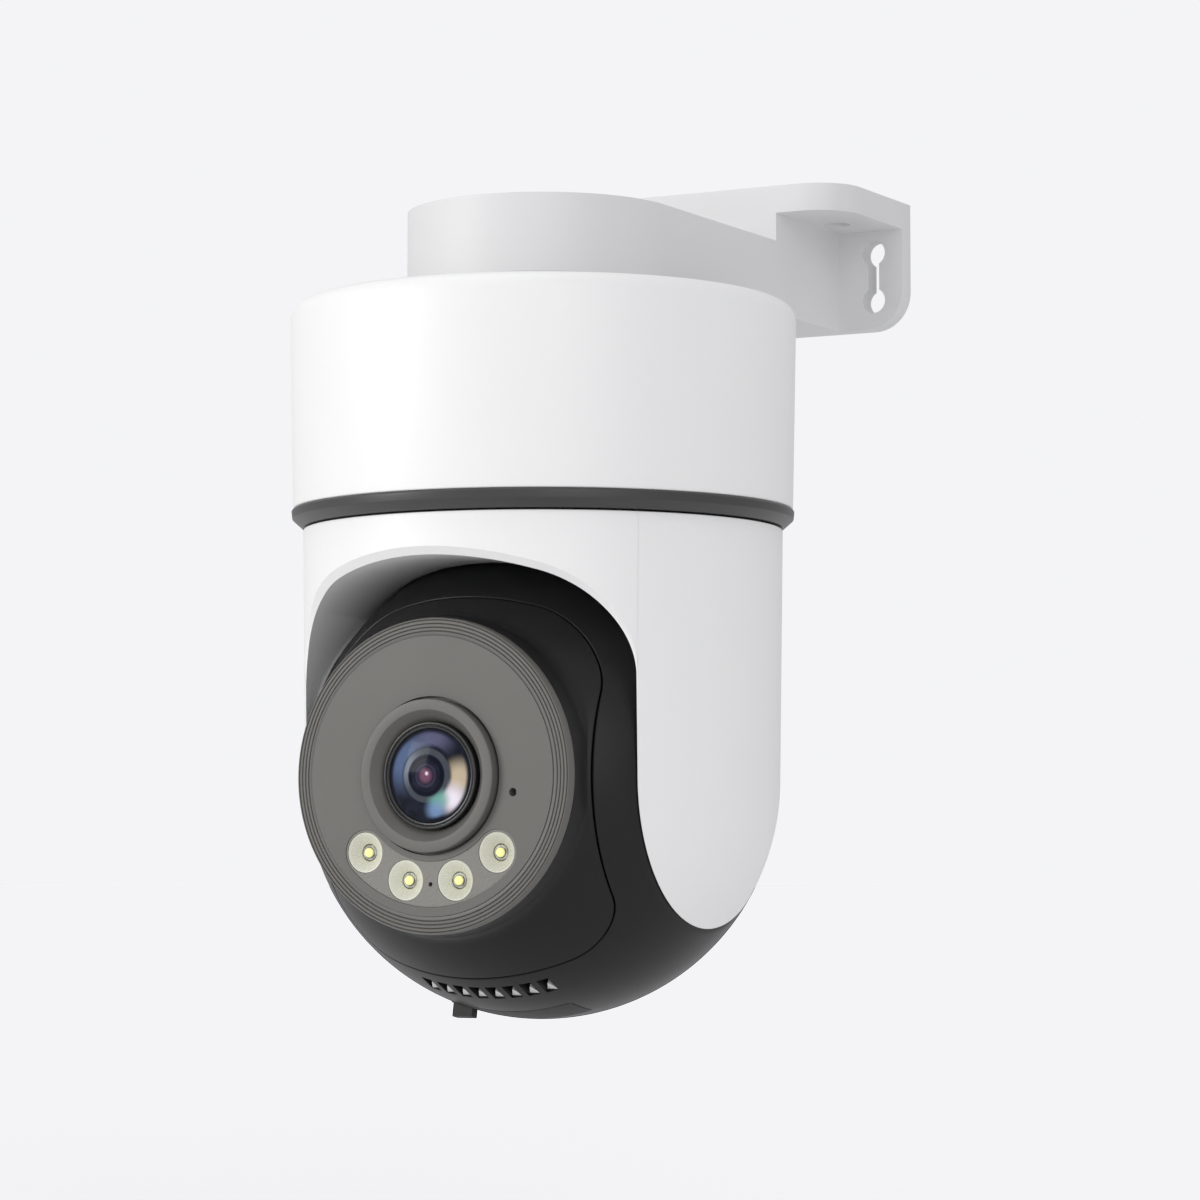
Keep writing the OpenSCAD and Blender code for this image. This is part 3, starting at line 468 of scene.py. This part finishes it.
gland = {
    "bore": 2.3, "head": 6.6, "headEnd": 1.6, "neck": 4.95, "neckEnd": 9.6, "flange": 7.0,
    "flangeEnd": 11.2, "tail": 4.6, "tip": 3.6, "end": 16.2, "ribs": 4, "groove": 0.45,
    "inside": 8.0,
}


def makeGland():
    # rubber gland with a ribbed tail; nothing is threaded through it
    g = gland
    outline = [(g["bore"], 0), (g["head"], 0), (g["head"], g["headEnd"]),
               (g["neck"], g["headEnd"]), (g["neck"], g["neckEnd"]),
               *rounded([(g["flange"], g["neckEnd"], 0), (g["flange"], g["flangeEnd"], 0.5),
                         (g["tail"], g["flangeEnd"], 0)], 4)[:-1]]
    pitch = (g["end"] - g["flangeEnd"]) / g["ribs"]
    for i in range(g["ribs"]):
        low = g["flangeEnd"] + i * pitch
        wide = g["tail"] + (g["tip"] - g["tail"]) * i / g["ribs"]
        outline += [(wide - g["groove"], low + 0.1), (wide - g["groove"], low + 0.45),
                    (wide, low + 0.5), (wide - 0.1, low + pitch)]
    outline += [(g["bore"], g["end"])]
    piece = turn(turned("cableGland", outline, 56), x=-90,
                 move=(0, drum["rim"] - g["inside"], drum["inletHeight"]))
    return settle(piece, panPoint, finishes["rubber"], "root", "cable_gland")


bracket = {
    "reach": 79.6, "seat": 25.15, "low": 40.9, "top": 55.1, "wingTop": 65.8, "wing": 5.3,
    "wide": 38.7, "deep": 33.0, "corner": 9.0, "plate": 4.1, "plateCorner": 7.5,
    "holeX": 32.5, "holeStep": 9.5, "hole": 2.45, "ceilingX": 29.5, "ceilingY": 65.0,
    "edge": 0.55, "seatEdge": 0.9,
}


def makeBracket():
    b = bracket
    front = b["reach"] - b["deep"]
    body = slab("wallBracket", arc(b["seat"], 180, 360, 64)
                + [(b["seat"], b["reach"]), (-b["seat"], b["reach"])], b["low"], b["top"])
    # softened upper edge of seat and arm
    pick(body)
    bpy.ops.object.mode_set(mode="EDIT")
    mesh = bmesh.from_edit_mesh(body.data)
    bpy.ops.mesh.select_all(action="DESELECT")
    for edge in mesh.edges:
        edge.select = all(v.co.z > b["top"] - 0.1 for v in edge.verts) and not all(
            v.co.y > b["reach"] - 0.1 for v in edge.verts)
    bmesh.update_edit_mesh(body.data)
    bpy.ops.mesh.bevel(offset=b["seatEdge"], segments=4)
    bpy.ops.object.mode_set(mode="OBJECT")
    riser = slab("riser", [(-b["seat"], front), (b["seat"], front), (b["seat"], b["reach"]),
                           (-b["seat"], b["reach"])], b["low"] + 1, b["wingTop"] - 1)
    wing = slab("wing", rounded([(-b["wide"], front, b["corner"]), (b["wide"], front, b["corner"]),
                                 (b["wide"], b["reach"], 0), (-b["wide"], b["reach"], 0)], 14),
                b["wingTop"] - b["wing"], b["wingTop"])
    plate = slab("plate", rounded([(-b["wide"], b["low"], b["plateCorner"]),
                                   (b["wide"], b["low"], b["plateCorner"]),
                                   (b["wide"], b["wingTop"], 0), (-b["wide"], b["wingTop"], 0)],
                                  12), 0, b["plate"])
    turn(plate, x=90, move=(0, b["reach"], 0))
    for part in (riser, wing, plate):
        combine(body, part, "UNION")
    # screw slots through the wall plate: two holes and a narrow neck
    middle = -panPoint.z / mm
    slots = []
    for x in (-b["holeX"], b["holeX"]):
        outline = (arc(b["hole"], -60.7, 240.7, 40, (0, b["holeStep"] / 2))
                   + arc(b["hole"], 119.3, 420.7, 40, (0, -b["holeStep"] / 2)))
        slots.append(turn(slab("slot", outline, -1, 6), x=90, move=(x, b["reach"], middle)))
        slots.append(turn(slab("ceilingHole", arc(b["hole"], 0, 350, 35), -1, 7),
                          move=(b["ceilingX"] * x / abs(x), b["ceilingY"], b["wingTop"] - 6)))
    combine(body, joined(*slots))
    modify(body, "BEVEL", width=b["edge"], segments=3, limit_method="ANGLE",
           angle_limit=radians(50), use_clamp_overlap=True)
    return settle(body, panPoint, finishes["bracket_plastic"], "root", "wall_bracket",
                  smooth=40)


# fork: one quarter is laid out along the edge of the opening, then mirrored
fork = {
    "crown": 45.9, "crownR": 44.1, "ball": 43.5, "cheek": 34.05, "arch": 38.5, "archR": 70.0,
    "corner": 19.5, "cavity": 43.8, "chamfer": 1.4, "cheekChamfer": 0.15, "edge": 0.45,
    "cover": 21.65, "archSteps": 16, "cornerSteps": 28, "cheekSteps": 12, "footSteps": 32,
    "down": 34, "over": 21, "seat": 36.1, "pocket": 18.5, "bearing": 9.0, "bearingEnd": 41.0,
}


def forkSurface(angle, z):
    r = (fork["ball"] + (fork["crownR"] - fork["ball"]) * z / fork["crown"] if z > 0
         else sqrt(fork["ball"] ** 2 - z * z))
    return Vector((r * sin(angle), -r * cos(angle), z))


def openingEdge(grown):
    # the opening's edge from the top of its arch to the foot of the cheek, as it is or let
    # out by the chamfer, with the chamfer's width at each point
    f = fork
    x0, lift = f["cheek"] - f["corner"], f["arch"] - f["archR"]
    far = f["archR"] - f["corner"]
    z0, lean = lift + sqrt(far ** 2 - x0 ** 2), degrees(asin(x0 / far))
    flat = []
    for k in range(f["archSteps"]):
        a = radians(90 - lean * k / f["archSteps"])
        r = f["archR"] + grown * f["chamfer"]
        flat.append((r * cos(a), lift + r * sin(a), f["chamfer"]))
    for k in range(f["cornerSteps"] + 1):
        share = 1 - k / f["cornerSteps"]
        a = radians((90 - lean) * share)
        wide = f["cheekChamfer"] + (f["chamfer"] - f["cheekChamfer"]) * min(1, 1.4 * share)
        r = f["corner"] + grown * wide
        flat.append((x0 + r * cos(a), z0 + r * sin(a), wide))
    side = f["cheek"] + grown * f["cheekChamfer"]
    flat += [(side, z0 * (1 - k / f["cheekSteps"]), f["cheekChamfer"])
             for k in range(1, f["cheekSteps"] + 1)]
    points = []
    for x, z, wide in flat:
        r = f["ball"] + (f["crownR"] - f["ball"]) * z / f["crown"]
        points.append((Vector((x, -sqrt(r * r - x * x), z)), wide))
    foot = sqrt(f["ball"] ** 2 - side ** 2)
    for k in range(1, f["footSteps"] + 1):
        a = radians(90 * k / f["footSteps"])
        points.append((Vector((side, -foot * cos(a), -foot * sin(a))), f["cheekChamfer"]))
    return points


def makeFork():
    f = fork
    inner, outer = openingEdge(0), openingEdge(1)
    start, last = f["archSteps"] + f["cornerSteps"], len(inner) - 1
    bend = atan2(outer[start][0].x, -outer[start][0].y)
    columns = []
    aside = 0
    for i, ((p, wide), (g, _)) in enumerate(zip(inner, outer)):
        own = atan2(g.x, -g.y)
        top = own if i <= start else bend + (pi / 2 - bend) * (i - start) / (last - start)
        rim = forkSurface(top, f["crown"])
        around = Vector((rim.x, rim.y, 0)).normalized()
        column = [Vector((0, 0, f["crown"])), around * f["crownR"] * 0.9]
        column[1].z = f["crown"]
        for back, drop in ((f["edge"], 0), (f["edge"] * 0.29, f["edge"] * 0.29)):
            column.append(around * (f["crownR"] - back) + Vector((0, 0, f["crown"] - drop)))
        high = f["crown"] - f["edge"]
        down = f["down"]
        column += [forkSurface(top + (own - top) * k / down, high + (g.z - high) * k / down)
                   for k in range(down + 1)]
        # chamfer, then the wall of the opening back to the round hollow and up over it
        inward = Vector((0, 1, 0)) if p.z > 1e-6 else Vector((0, -p.y, -p.z)).normalized()
        second = p + inward * wide * 0.95
        column += [g.lerp(second, 0.08), g.lerp(second, 0.92), second, second + inward * 0.2]
        wall = second + inward * 0.8
        if p.z > 1e-6:
            back = -sqrt(max(f["cavity"] ** 2 - p.x ** 2 - p.z ** 2, 0))
            wall = Vector((p.x, max(back, second.y + 0.4), p.z))
        column.append(wall)
        # over the hollow the rows swing aside first, clear of the arch's corner
        azimuth, rise = atan2(wall.x, -wall.y), asin(wall.normalized().z)
        if i <= start:
            aside = max(aside + 0.002, azimuth) if i else 0
        target = aside + (pi / 2 - aside) * max(0, i - start) / (last - start)
        for k in range(1, f["over"] + 1):
            t = k / f["over"]
            swing = min(1, 3 * t)
            a = azimuth + (target - azimuth) * swing * swing * (3 - 2 * swing)
            e = rise + (pi / 2 - rise) * t
            d = Vector((cos(e) * sin(a), -cos(e) * cos(a), sin(e)))
            column.append(d * min(f["cavity"], f["cheek"] / max(abs(d.x), 1e-6)))
        columns.append(column)
    rows = [[column[k] for column in columns] for k in range(len(columns[0]))]
    piece = wrapped("forkHousing", rows, mirrored="XY")
    # seats of the cheek covers and the hollows behind them
    half = [(0, f["bearingEnd"]), (f["bearing"], f["bearingEnd"]), (f["pocket"], f["seat"]),
            (f["cover"], f["seat"])]
    hollow = turned("hollow", [(r, -h) for r, h in half] + half[::-1], 96)
    combine(piece, turn(hollow, y=90))
    return settle(piece, tiltPoint, finishes["white_shell"], "fork", "fork_housing",
                  smooth=28)


# head: a ball with flat sides, parted along the outline of the front cover
head = {
    "ball": 43.5, "flat": 33.85, "round": 2.6, "wall": 2.2, "coverX": 28.5, "up": 47.2,
    "down": 55.3, "corner": 14.0, "lowCorner": 10.0, "gap": 0.26, "lip": 0.12, "columns": 192,
    "snoutBase": 28.2, "snoutFront": 27.7, "front": 37.9, "bore": 25.5, "fillet": 1.6,
    "ledge": 0.35, "domeRows": 14, "filletRows": 6, "backRows": 5, "back": 30.0,
}


def barrelOutline(r, x, edge, steps):
    # half outline of the ball along its axis, as (radius, place on the axis)
    cx = x - edge
    cy = sqrt((r - edge) ** 2 - cx * cx)
    meet = degrees(atan2(cy, cx))
    points = arc(edge, 0, meet, 6, (cx, cy)) + arc(r, meet, 180 - meet, steps)[1:-1]
    points += arc(edge, 180 - meet, 180, 6, (-cx, cy))
    return [(y, along) for along, y in points]


def coverRay(grow):
    # the cover's outline in (width, height over the ball), and its distance at any direction
    perMm = degrees(1 / (head["ball"] - 6))
    up, down = head["up"] / perMm + grow, head["down"] / perMm + grow
    wide = head["coverX"] + grow
    corner, lowCorner = head["corner"] + grow, head["lowCorner"] + grow
    flat = rounded([(wide, up, corner), (-wide, up, corner), (-wide, -down, lowCorner),
                    (wide, -down, lowCorner)], 24)
    dense = []
    for (x1, y1), (x2, y2) in zip(flat, flat[1:] + flat[:1]):
        dense += [(x1 + (x2 - x1) * k / 24, y1 + (y2 - y1) * k / 24) for k in range(24)]
    turns = np.unwrap([atan2(y, x) for x, y in dense])
    order = np.argsort(turns % (2 * pi))
    wrappedTurns = (turns % (2 * pi))[order]
    xs, ys = np.array(dense).T
    xs, ys = xs[order], ys[order]

    def at(angle):
        a = angle % (2 * pi)
        return (np.interp(a, wrappedTurns, xs, period=2 * pi),
                radians(np.interp(a, wrappedTurns, ys, period=2 * pi) * perMm))
    return at


def onBall(x, lift, r):
    # a point of the outline, moved in or out along its own radius
    rho = sqrt(head["ball"] ** 2 - x * x)
    return Vector((x, -rho * cos(lift), rho * sin(lift))) * (r / head["ball"])


def makeRearShell():
    outer = barrelOutline(head["ball"], head["flat"], head["round"], 60)
    inside = barrelOutline(head["ball"] - head["wall"], head["flat"] - head["wall"],
                           head["round"], 40)
    shell = turned("headRearShell", [(0, head["flat"]), *outer, (0, -head["flat"])], 180)
    hollow = turned("hollow", [(0, head["flat"] - head["wall"]), *inside,
                               (0, head["wall"] - head["flat"])], 96)
    turn(shell, y=90)
    combine(shell, turn(hollow, y=90))
    # the mouth for the front cover, with a flared edge
    edge, flare = coverRay(0), coverRay(head["lip"] * 2.2)
    turns = [2 * pi * k / head["columns"] for k in range(head["columns"] + 1)]
    rows = [[Vector((0, -5, 0))] * len(turns),
            [onBall(*edge(a), head["ball"] - 7.5) for a in turns],
            [onBall(*edge(a), head["ball"] - head["lip"]) for a in turns],
            [onBall(*flare(a), head["ball"] + head["lip"]) for a in turns],
            [onBall(*flare(a), head["ball"] + 6.5) for a in turns],
            [Vector((0, -60, 0))] * len(turns)]
    combine(shell, wrapped("mouth", rows))
    cutters = ventCutters() + capCutters() + screwCutters() + flankCutters()
    combine(shell, joined(*cutters))
    return settle(shell, tiltPoint, finishes["black_shell"], "head", "head_rear_shell",
                  smooth=32)


vents = {"count": 8, "step": 3.4, "aim": 28.2, "wide": 2.2, "long": 4.4, "shift": 0.2,
         "ramp": 2.3, "sunk": 0.5}


def ventCutters():
    # slots whose lower ends slope forwards
    made = []
    for i in range(vents["count"]):
        x = (i - (vents["count"] - 1) / 2) * vents["step"] + vents["shift"]
        half = vents["wide"] / 2
        rho = sqrt(head["ball"] ** 2 - x * x)
        slot = slab("vent", [(-half, -vents["long"] / 2), (half, -vents["long"] / 2),
                             (half, vents["long"] / 2), (-half, vents["long"] / 2)],
                    -rho - 2, -rho + 3.6)
        made.append(turn(turn(slot, move=(x, 0, 0)), x=-vents["aim"]))
    return made


def makePaintedSheenRamps():
    # pale ramps at the lower ends of the slots: a painted reflection, a pale sheet where the black slot ends catch
    # light
    made = []
    for i in range(vents["count"]):
        x = (i - (vents["count"] - 1) / 2) * vents["step"] + vents["shift"]
        half, low = vents["wide"] / 2 + 0.1, vents["long"] / 2 + 0.1
        rho = sqrt(head["ball"] ** 2 - x * x) - vents["sunk"]
        ramp = slab("paintedSheenRamps", [(half, low), (-half, low), (-0.1, low - vents["ramp"]),
                                  (0.1, low - vents["ramp"])], -rho, -rho + 0.8)
        made.append(turn(turn(ramp, move=(x, 0, 0)), x=-vents["aim"]))
    return settle(joined(*made), tiltPoint, finishes["bracket_plastic"], "head", None)


cap = {"aim": 10.6, "low": -14.2, "high": 12.4, "wide": 8.2, "gap": 0.15, "corner": 1.0}


def capCutters():
    # the service cap lies in this pocket with a small gap all round
    low, high = cap["low"] - cap["gap"], cap["high"] + cap["gap"]
    half = cap["wide"] / 2 + cap["gap"]
    pocket = slab("pocket", rounded([(low, -half, cap["corner"]), (high, -half, cap["corner"]),
                                     (high, half, cap["corner"]), (low, half, cap["corner"])], 4),
                  -head["ball"] - 2, -head["ball"] + 4)
    return [turn(pocket, x=-cap["aim"])]


wells = {"places": ((21, 19), (-21, 19), (21, -22), (-21, -22)), "radius": 2.4, "start": 24,
         "end": 45}


def screwCutters():
    # deep wells of the four long screws, open at the back
    outline = [(0, wells["start"]), (wells["radius"], wells["start"]),
               (wells["radius"], wells["end"]), (0, wells["end"])]
    return [turn(turned("well", outline, 40), x=-90, move=(x, 0, z))
            for x, z in wells["places"]]


flanks = {"start": 27, "end": 40, "right": 7, "left": 4}


def flankCutters():
    # bores of the tilt axle on the right and of the tilt spindle on the left
    low, high = flanks["start"], flanks["end"]
    right = turned("right", [(0, low), (flanks["right"], low), (flanks["right"], high),
                             (0, high)], 64)
    left = turned("left", [(0, -low), (0, -high), (flanks["left"], -high),
                           (flanks["left"], -low)], 48)
    return [turn(right, y=90), turn(left, y=90)]


def makeFrontCover():
    outerEdge, topEdge = coverRay(-head["gap"]), coverRay(-head["gap"] - head["lip"])
    ball, inner = head["ball"], head["ball"] - head["wall"]
    turns = [2 * pi * k / head["columns"] for k in range(head["columns"] + 1)]
    rows = [[onBall(*outerEdge(a), inner) for a in turns],
            [onBall(*outerEdge(a), ball - head["lip"]) for a in turns],
            [onBall(*topEdge(a), ball) for a in turns]]
    # the fillet round the snout's foot stays inside the cover's outline
    feet = []
    for a, p in zip(turns, rows[-1]):
        room = sqrt(p.x ** 2 + p.z ** 2) - head["ledge"]
        feet.append((min(head["snoutBase"] + head["fillet"], room),
                     min(head["snoutBase"], room - 0.1)))
    for k in range(1, head["domeRows"] + 1):
        rows.append([])
        for a, start, (foot, _) in zip(turns, rows[2], feet):
            end = Vector((foot * cos(a), -sqrt(ball ** 2 - foot ** 2), foot * sin(a)))
            rows[-1].append(start.lerp(end, k / head["domeRows"]).normalized() * ball)
    for k in range(1, head["filletRows"] + 1):
        t = k / head["filletRows"]
        rows.append([])
        for a, (foot, base) in zip(turns, feet):
            meet = Vector((base, -sqrt(ball ** 2 - base ** 2)))
            top = Vector((foot, -sqrt(ball ** 2 - foot ** 2)))
            point = (top * (1 - t) ** 2 + meet * 2 * t * (1 - t)
                     + (meet - Vector((0.05, head["fillet"]))) * t * t)
            rows[-1].append(Vector((point.x * cos(a), point.y, point.x * sin(a))))
    # rounded lip of the snout, its bore, and the cover's inner side
    snout, front, bore = head["snoutFront"], -head["front"], head["bore"]
    deep = -sqrt(inner ** 2 - bore ** 2)
    for r, y in ((snout + 0.05, front + 0.4), (snout, front + 0.15), (snout - 0.2, front),
                 (bore, front), (bore, -head["back"]), (bore, deep)):
        rows.append([Vector((r * cos(a), y, r * sin(a))) for a in turns])
    for k in range(1, head["backRows"] + 1):
        rows.append([])
        for a in turns:
            start = Vector((bore * cos(a), deep, bore * sin(a)))
            end = onBall(*outerEdge(a), inner)
            rows[-1].append(start.lerp(end, k / head["backRows"]).normalized() * inner)
    rows[-1] = [p.copy() for p in rows[0]]
    piece = wrapped("headFrontCover", rows)
    return settle(piece, tiltPoint, finishes["black_shell"], "head", "head_front_cover",
                  smooth=32)


# face, lens and lights: drawn looking up Z, then turned to face forwards
face = {
    "front": 39.9, "thick": 2.0, "radius": 27.7, "recess": 11.5, "turns": 160,
    "grooves": (27.25, 26.6, 25.95, 25.3), "groove": 0.14, "sunk": 0.16, "step": 24.55,
    "windowIn": 14.9, "windowOut": 22.9, "windowEnd": 45.0, "ledRing": 18.9,
    "ledTurns": (-45, -15.5, 15.5, 45), "cup": 3.62, "mic": (16.6, -3.0), "micHole": 0.75,
    "sensorHole": 0.42,
}
collar = {"outer": 13.4, "height": 1.6, "lip": 11.5, "throat": 9.45, "depth": 1.0, "moat": 0.5,
          "sunk": 1.1}


def faceOn(piece):
    return turn(piece, x=90, move=(0, -face["front"], 0))


def windowOutline(grow):
    middle = (face["windowIn"] + face["windowOut"]) / 2
    half = (face["windowOut"] - face["windowIn"]) / 2 + grow
    end = face["windowEnd"]
    right = (middle * sin(radians(end)), -middle * cos(radians(end)))
    left = (-right[0], right[1])
    return (arc(middle + half, -90 - end, -90 + end, 48)
            + arc(half, -90 + end, 90 + end, 16, right)[1:-1]
            + arc(middle - half, -90 + end, -90 - end, 40)
            + arc(half, 90 - end, 270 - end, 16, left)[1:-1])


def makeFacePlate():
    moat = collar["outer"] + collar["moat"]
    outline = [(face["recess"], -face["thick"]), (face["radius"], -face["thick"])]
    rim = face["sunk"]
    outline += [(face["radius"], -rim - 0.35), (face["radius"] - 0.2, -rim)]
    for r in face["grooves"]:
        outline += [(r + face["groove"], -rim), (r, -rim - 0.22), (r - face["groove"], -rim)]
    outline += [(face["step"] + 0.12, -rim), (face["step"], -rim - 0.05),
                (face["step"] - 0.05, 0), (moat, 0), (moat - 0.05, -collar["sunk"]),
                (face["recess"], -collar["sunk"])]
    plate = turned("facePlate", outline, face["turns"])
    window = slab("window", windowOutline(0), -3, 1)
    mic = slab("mic", arc(face["micHole"], 0, 345, 23, face["mic"]), -3, 1)
    combine(plate, joined(window, mic))
    return settle(faceOn(plate), tiltPoint, finishes["face_plastic"], "head", "face_plate",
                  smooth=30)


def makeCollar():
    neck = face["recess"] - 0.1
    outline = rounded([(neck, -5, 0), (neck, -collar["sunk"], 0),
                       (collar["outer"], -collar["sunk"], 0),
                       (collar["outer"], collar["height"], 0.25),
                       (collar["lip"], collar["height"], 0.12),
                       (collar["throat"], -collar["depth"], 0.2), (collar["throat"], -5, 0)], 5)
    return settle(faceOn(turned("lensCollar", outline, 128)), tiltPoint, finishes["face_plastic"],
                  "head", "lens_collar")


lens = {
    "rim": 9.4, "rimFront": 0.35, "glass": 8.15, "edge": 0.1, "dome": 22.0, "pupil": 2.4,
    "pupilEdge": -8.6, "pupilRise": 0.6,
    "barrel": (                       # radius, depth and rounding of each corner
        (2.4, -16, 0), (2.4, -8, 0), (3.4, -7.2, 0.1), (3.4, -6.2, 0.1), (4.3, -5.9, 0.1),
        (4.5, -6.3, 0.05), (7.7, -5.0, 0.1), (9.4, -5.1, 0), (9.4, -8, 0), (6, -8.4, 0),
        (6, -16, 0)),
}


def makeLens():
    rim, front, glassR = lens["rim"], lens["rimFront"], lens["glass"]
    retaining = turned("lensRetainingRing", rounded([
        (8.0, -5, 0), (rim, -5, 0), (rim, front, 0.2), (rim - 0.45, front, 0.12),
        (rim - 0.6, front - 0.3, 0.08), (rim - 0.8, front - 0.05, 0.08),
        (glassR + 0.15, front - 0.1, 0.1), (glassR, lens["edge"] - 0.2, 0.05),
        (8.0, -0.6, 0)], 4), 128)
    settle(faceOn(retaining), tiltPoint, finishes["lens_black"], "head", "lens_retaining_ring")
    dome = lens["dome"]
    low = lens["edge"] - sqrt(dome ** 2 - glassR ** 2)
    glass = turned("frontGlass", [(0, -3.4), (glassR, -3.4)]
                   + [(glassR * k / 28, low + sqrt(dome ** 2 - (glassR * k / 28) ** 2))
                      for k in range(28, -1, -1)], 128)
    settle(faceOn(glass), tiltPoint, finishes["lens_glass"], "head", "front_glass",
           smooth=50)
    barrel = turned("lensBarrel", rounded(lens["barrel"], 3), 96)
    settle(faceOn(barrel), tiltPoint, finishes["lens_black"], "head", "lens_barrel")
    wide, edge = lens["pupil"], lens["pupilEdge"]
    pupil = turned("lensPupil", [(0, edge - 1.2), (wide, edge - 1.2), (wide, edge)]
                   + [(wide * k / 12, edge + lens["pupilRise"] * (1 - (k / 12) ** 2))
                      for k in range(11, -1, -1)], 64)
    settle(faceOn(pupil), tiltPoint, finishes["pupil"], "head", "lens_pupil", smooth=50)


lights = {
    "pleats": 40,
    "cup": (                          # radius, height and depth of the pleats
        (3.6, -4.0, 0), (3.6, -0.3, 0), (3.5, -0.14, 0), (3.3, -0.16, 0), (3.05, -0.3, 0.09),
        (2.4, -0.75, 0.12), (1.9, -1.15, 0.1), (1.55, -1.5, 0.03), (1.5, -2.6, 0),
        (1.5, -4.0, 0), (3.6, -4.0, 0)),
    "foot": ((0, -3.4), (1.44, -3.4), (1.44, -1.75), (1.25, -1.5), (1.0, -1.6), (0.87, -1.85)),
    "dome": 0.85, "domeHeight": -1.45,
}


def makeLights():
    places = [(face["ledRing"] * sin(radians(a)), -face["ledRing"] * cos(radians(a)))
              for a in face["ledTurns"]]
    # stippled window with a round opening for each lamp and for the light sensor
    plate = slab("ledWindow", windowOutline(-0.05), -1.4, -0.12)
    holes = [slab("hole", arc(face["cup"], 0, 354, 59, place), -3, 1) for place in places]
    holes.append(slab("hole", arc(face["sensorHole"], 0, 340, 17, (0, -face["ledRing"])), -3, 1))
    combine(plate, joined(*holes))
    settle(faceOn(plate), tiltPoint, finishes["window"], "head", "led_window")
    # reflector cups with fine pleats
    points = lights["pleats"] * 4
    turns = [2 * pi * k / points for k in range(points + 1)]

    def wave(k):
        return (0, 0.5, 1, 0.5)[k % 4]

    rows = []
    for r, h, deep in lights["cup"]:
        rows.append([Vector((r * cos(a), r * sin(a), h - deep * wave(k)))
                     for k, a in enumerate(turns)])
    cups = copies(wrapped("ledReflectors", rows), places)
    settle(faceOn(cups), tiltPoint, finishes["reflector"], "head", "led_reflectors")
    dome = turned("ledEmitters", [*lights["foot"], *arc(lights["dome"], 0, 90, 9,
                                                        (0, lights["domeHeight"]))], 40)
    domes = copies(dome, places)
    settle(faceOn(domes), tiltPoint, finishes["led_phosphor"], "head", "led_emitters",
           smooth=50)


for make in (makeDrum, makeTrimRing, makeGland, makeBracket, makeFork, makeRearShell,
             makePaintedSheenRamps, makeFrontCover, makeFacePlate, makeCollar, makeLens, makeLights):
    make()
    print("made by", make.__name__)


# floor, light and camera
studio = {
    "floorZ": -0.2,
    "floorSize": 30.0,
    "cameraAt": (0.34962, -0.69781, -0.1171),
    "cameraTurn": (93.975, 0, 28.645),
    "lens": 116.05,
    "below": (0.06, 0.06, 0.062),
    "above": (0.67, 0.67, 0.685),
    "backdrop": (0.905, 0.905, 0.922),
    "horizon": (-0.35, 0.25),         # heights where the light from around turns
    "aim": (0, -0.08, -0.07),         # the point that every lamp faces
    "lights": (                       # name, place, size, power, colour
        ("keyLight", (-1.0, -1.2, 0.3), 0.6, 8.7, (1.0, 0.992, 0.972)),
        ("fillLight", (1.1, -1.2, 0.3), 1.0, 4.5, (0.985, 0.985, 1.0)),
        ("topLight", (-0.2, -0.2, 1.3), 0.9, 2.6, (1.0, 1.0, 1.0)),
        ("lowLight", (-0.5, -1.2, -0.75), 0.5, 1.4, (1.0, 1.0, 1.0)),
    ),
}
deselect()
bpy.ops.mesh.primitive_plane_add(size=studio["floorSize"], location=(0, 0, studio["floorZ"]))
floor = bpy.context.object
floor.name = "floor"
floorFinish = Finish("paleFloor", Roughness=0.9)
floorFinish.set(Base_Color=floorFinish.blend(floorFinish.noise(1.5), (0.86, 0.86, 0.865),
                                             (0.88, 0.88, 0.885)))
floor.data.materials.append(floorFinish.material)
floor.is_shadow_catcher = True

# the backdrop stays pale to the camera while its light on the object is softer
world = bpy.data.worlds.new("studio")
bpy.context.scene.world = world
sky = Graph(world)
height = sky.node("SeparateXYZ", out=2, at0=sky.node("TexCoord", out="Generated"))
low, high = studio["horizon"]
around = sky.node("Background", Color=sky.blend(
    sky.node("MapRange", at0=height, at1=low, at2=high), studio["below"], studio["above"]))
backdrop = sky.node("Background", Color=studio["backdrop"])
seen = sky.node("LightPath", out="Is Camera Ray")
sky.plug(sky.tree.nodes["World Output"].inputs[0],
         sky.node("MixShader", at0=seen, at1=around, at2=backdrop))


def areaLight(name, place, size, power, colour):
    data = bpy.data.lights.new(name, "AREA")
    data.size, data.energy, data.color = size, power, colour
    lamp = bpy.data.objects.new(name, data)
    bpy.context.scene.collection.objects.link(lamp)
    lamp.location = place
    away = Vector(studio["aim"]) - Vector(place)
    lamp.rotation_euler = away.to_track_quat("-Z", "Y").to_euler()


for light in studio["lights"]:
    areaLight(*light)

bpy.context.scene.view_settings.view_transform = "Standard"
camera = bpy.data.objects.new("camera", bpy.data.cameras.new("camera"))
bpy.context.scene.collection.objects.link(camera)
camera.location = studio["cameraAt"]
camera.rotation_euler = [radians(a) for a in studio["cameraTurn"]]
camera.data.lens = studio["lens"]
camera.data.sensor_width = 36
camera.data.clip_end = 100
bpy.context.scene.camera = camera
print("studio ready")
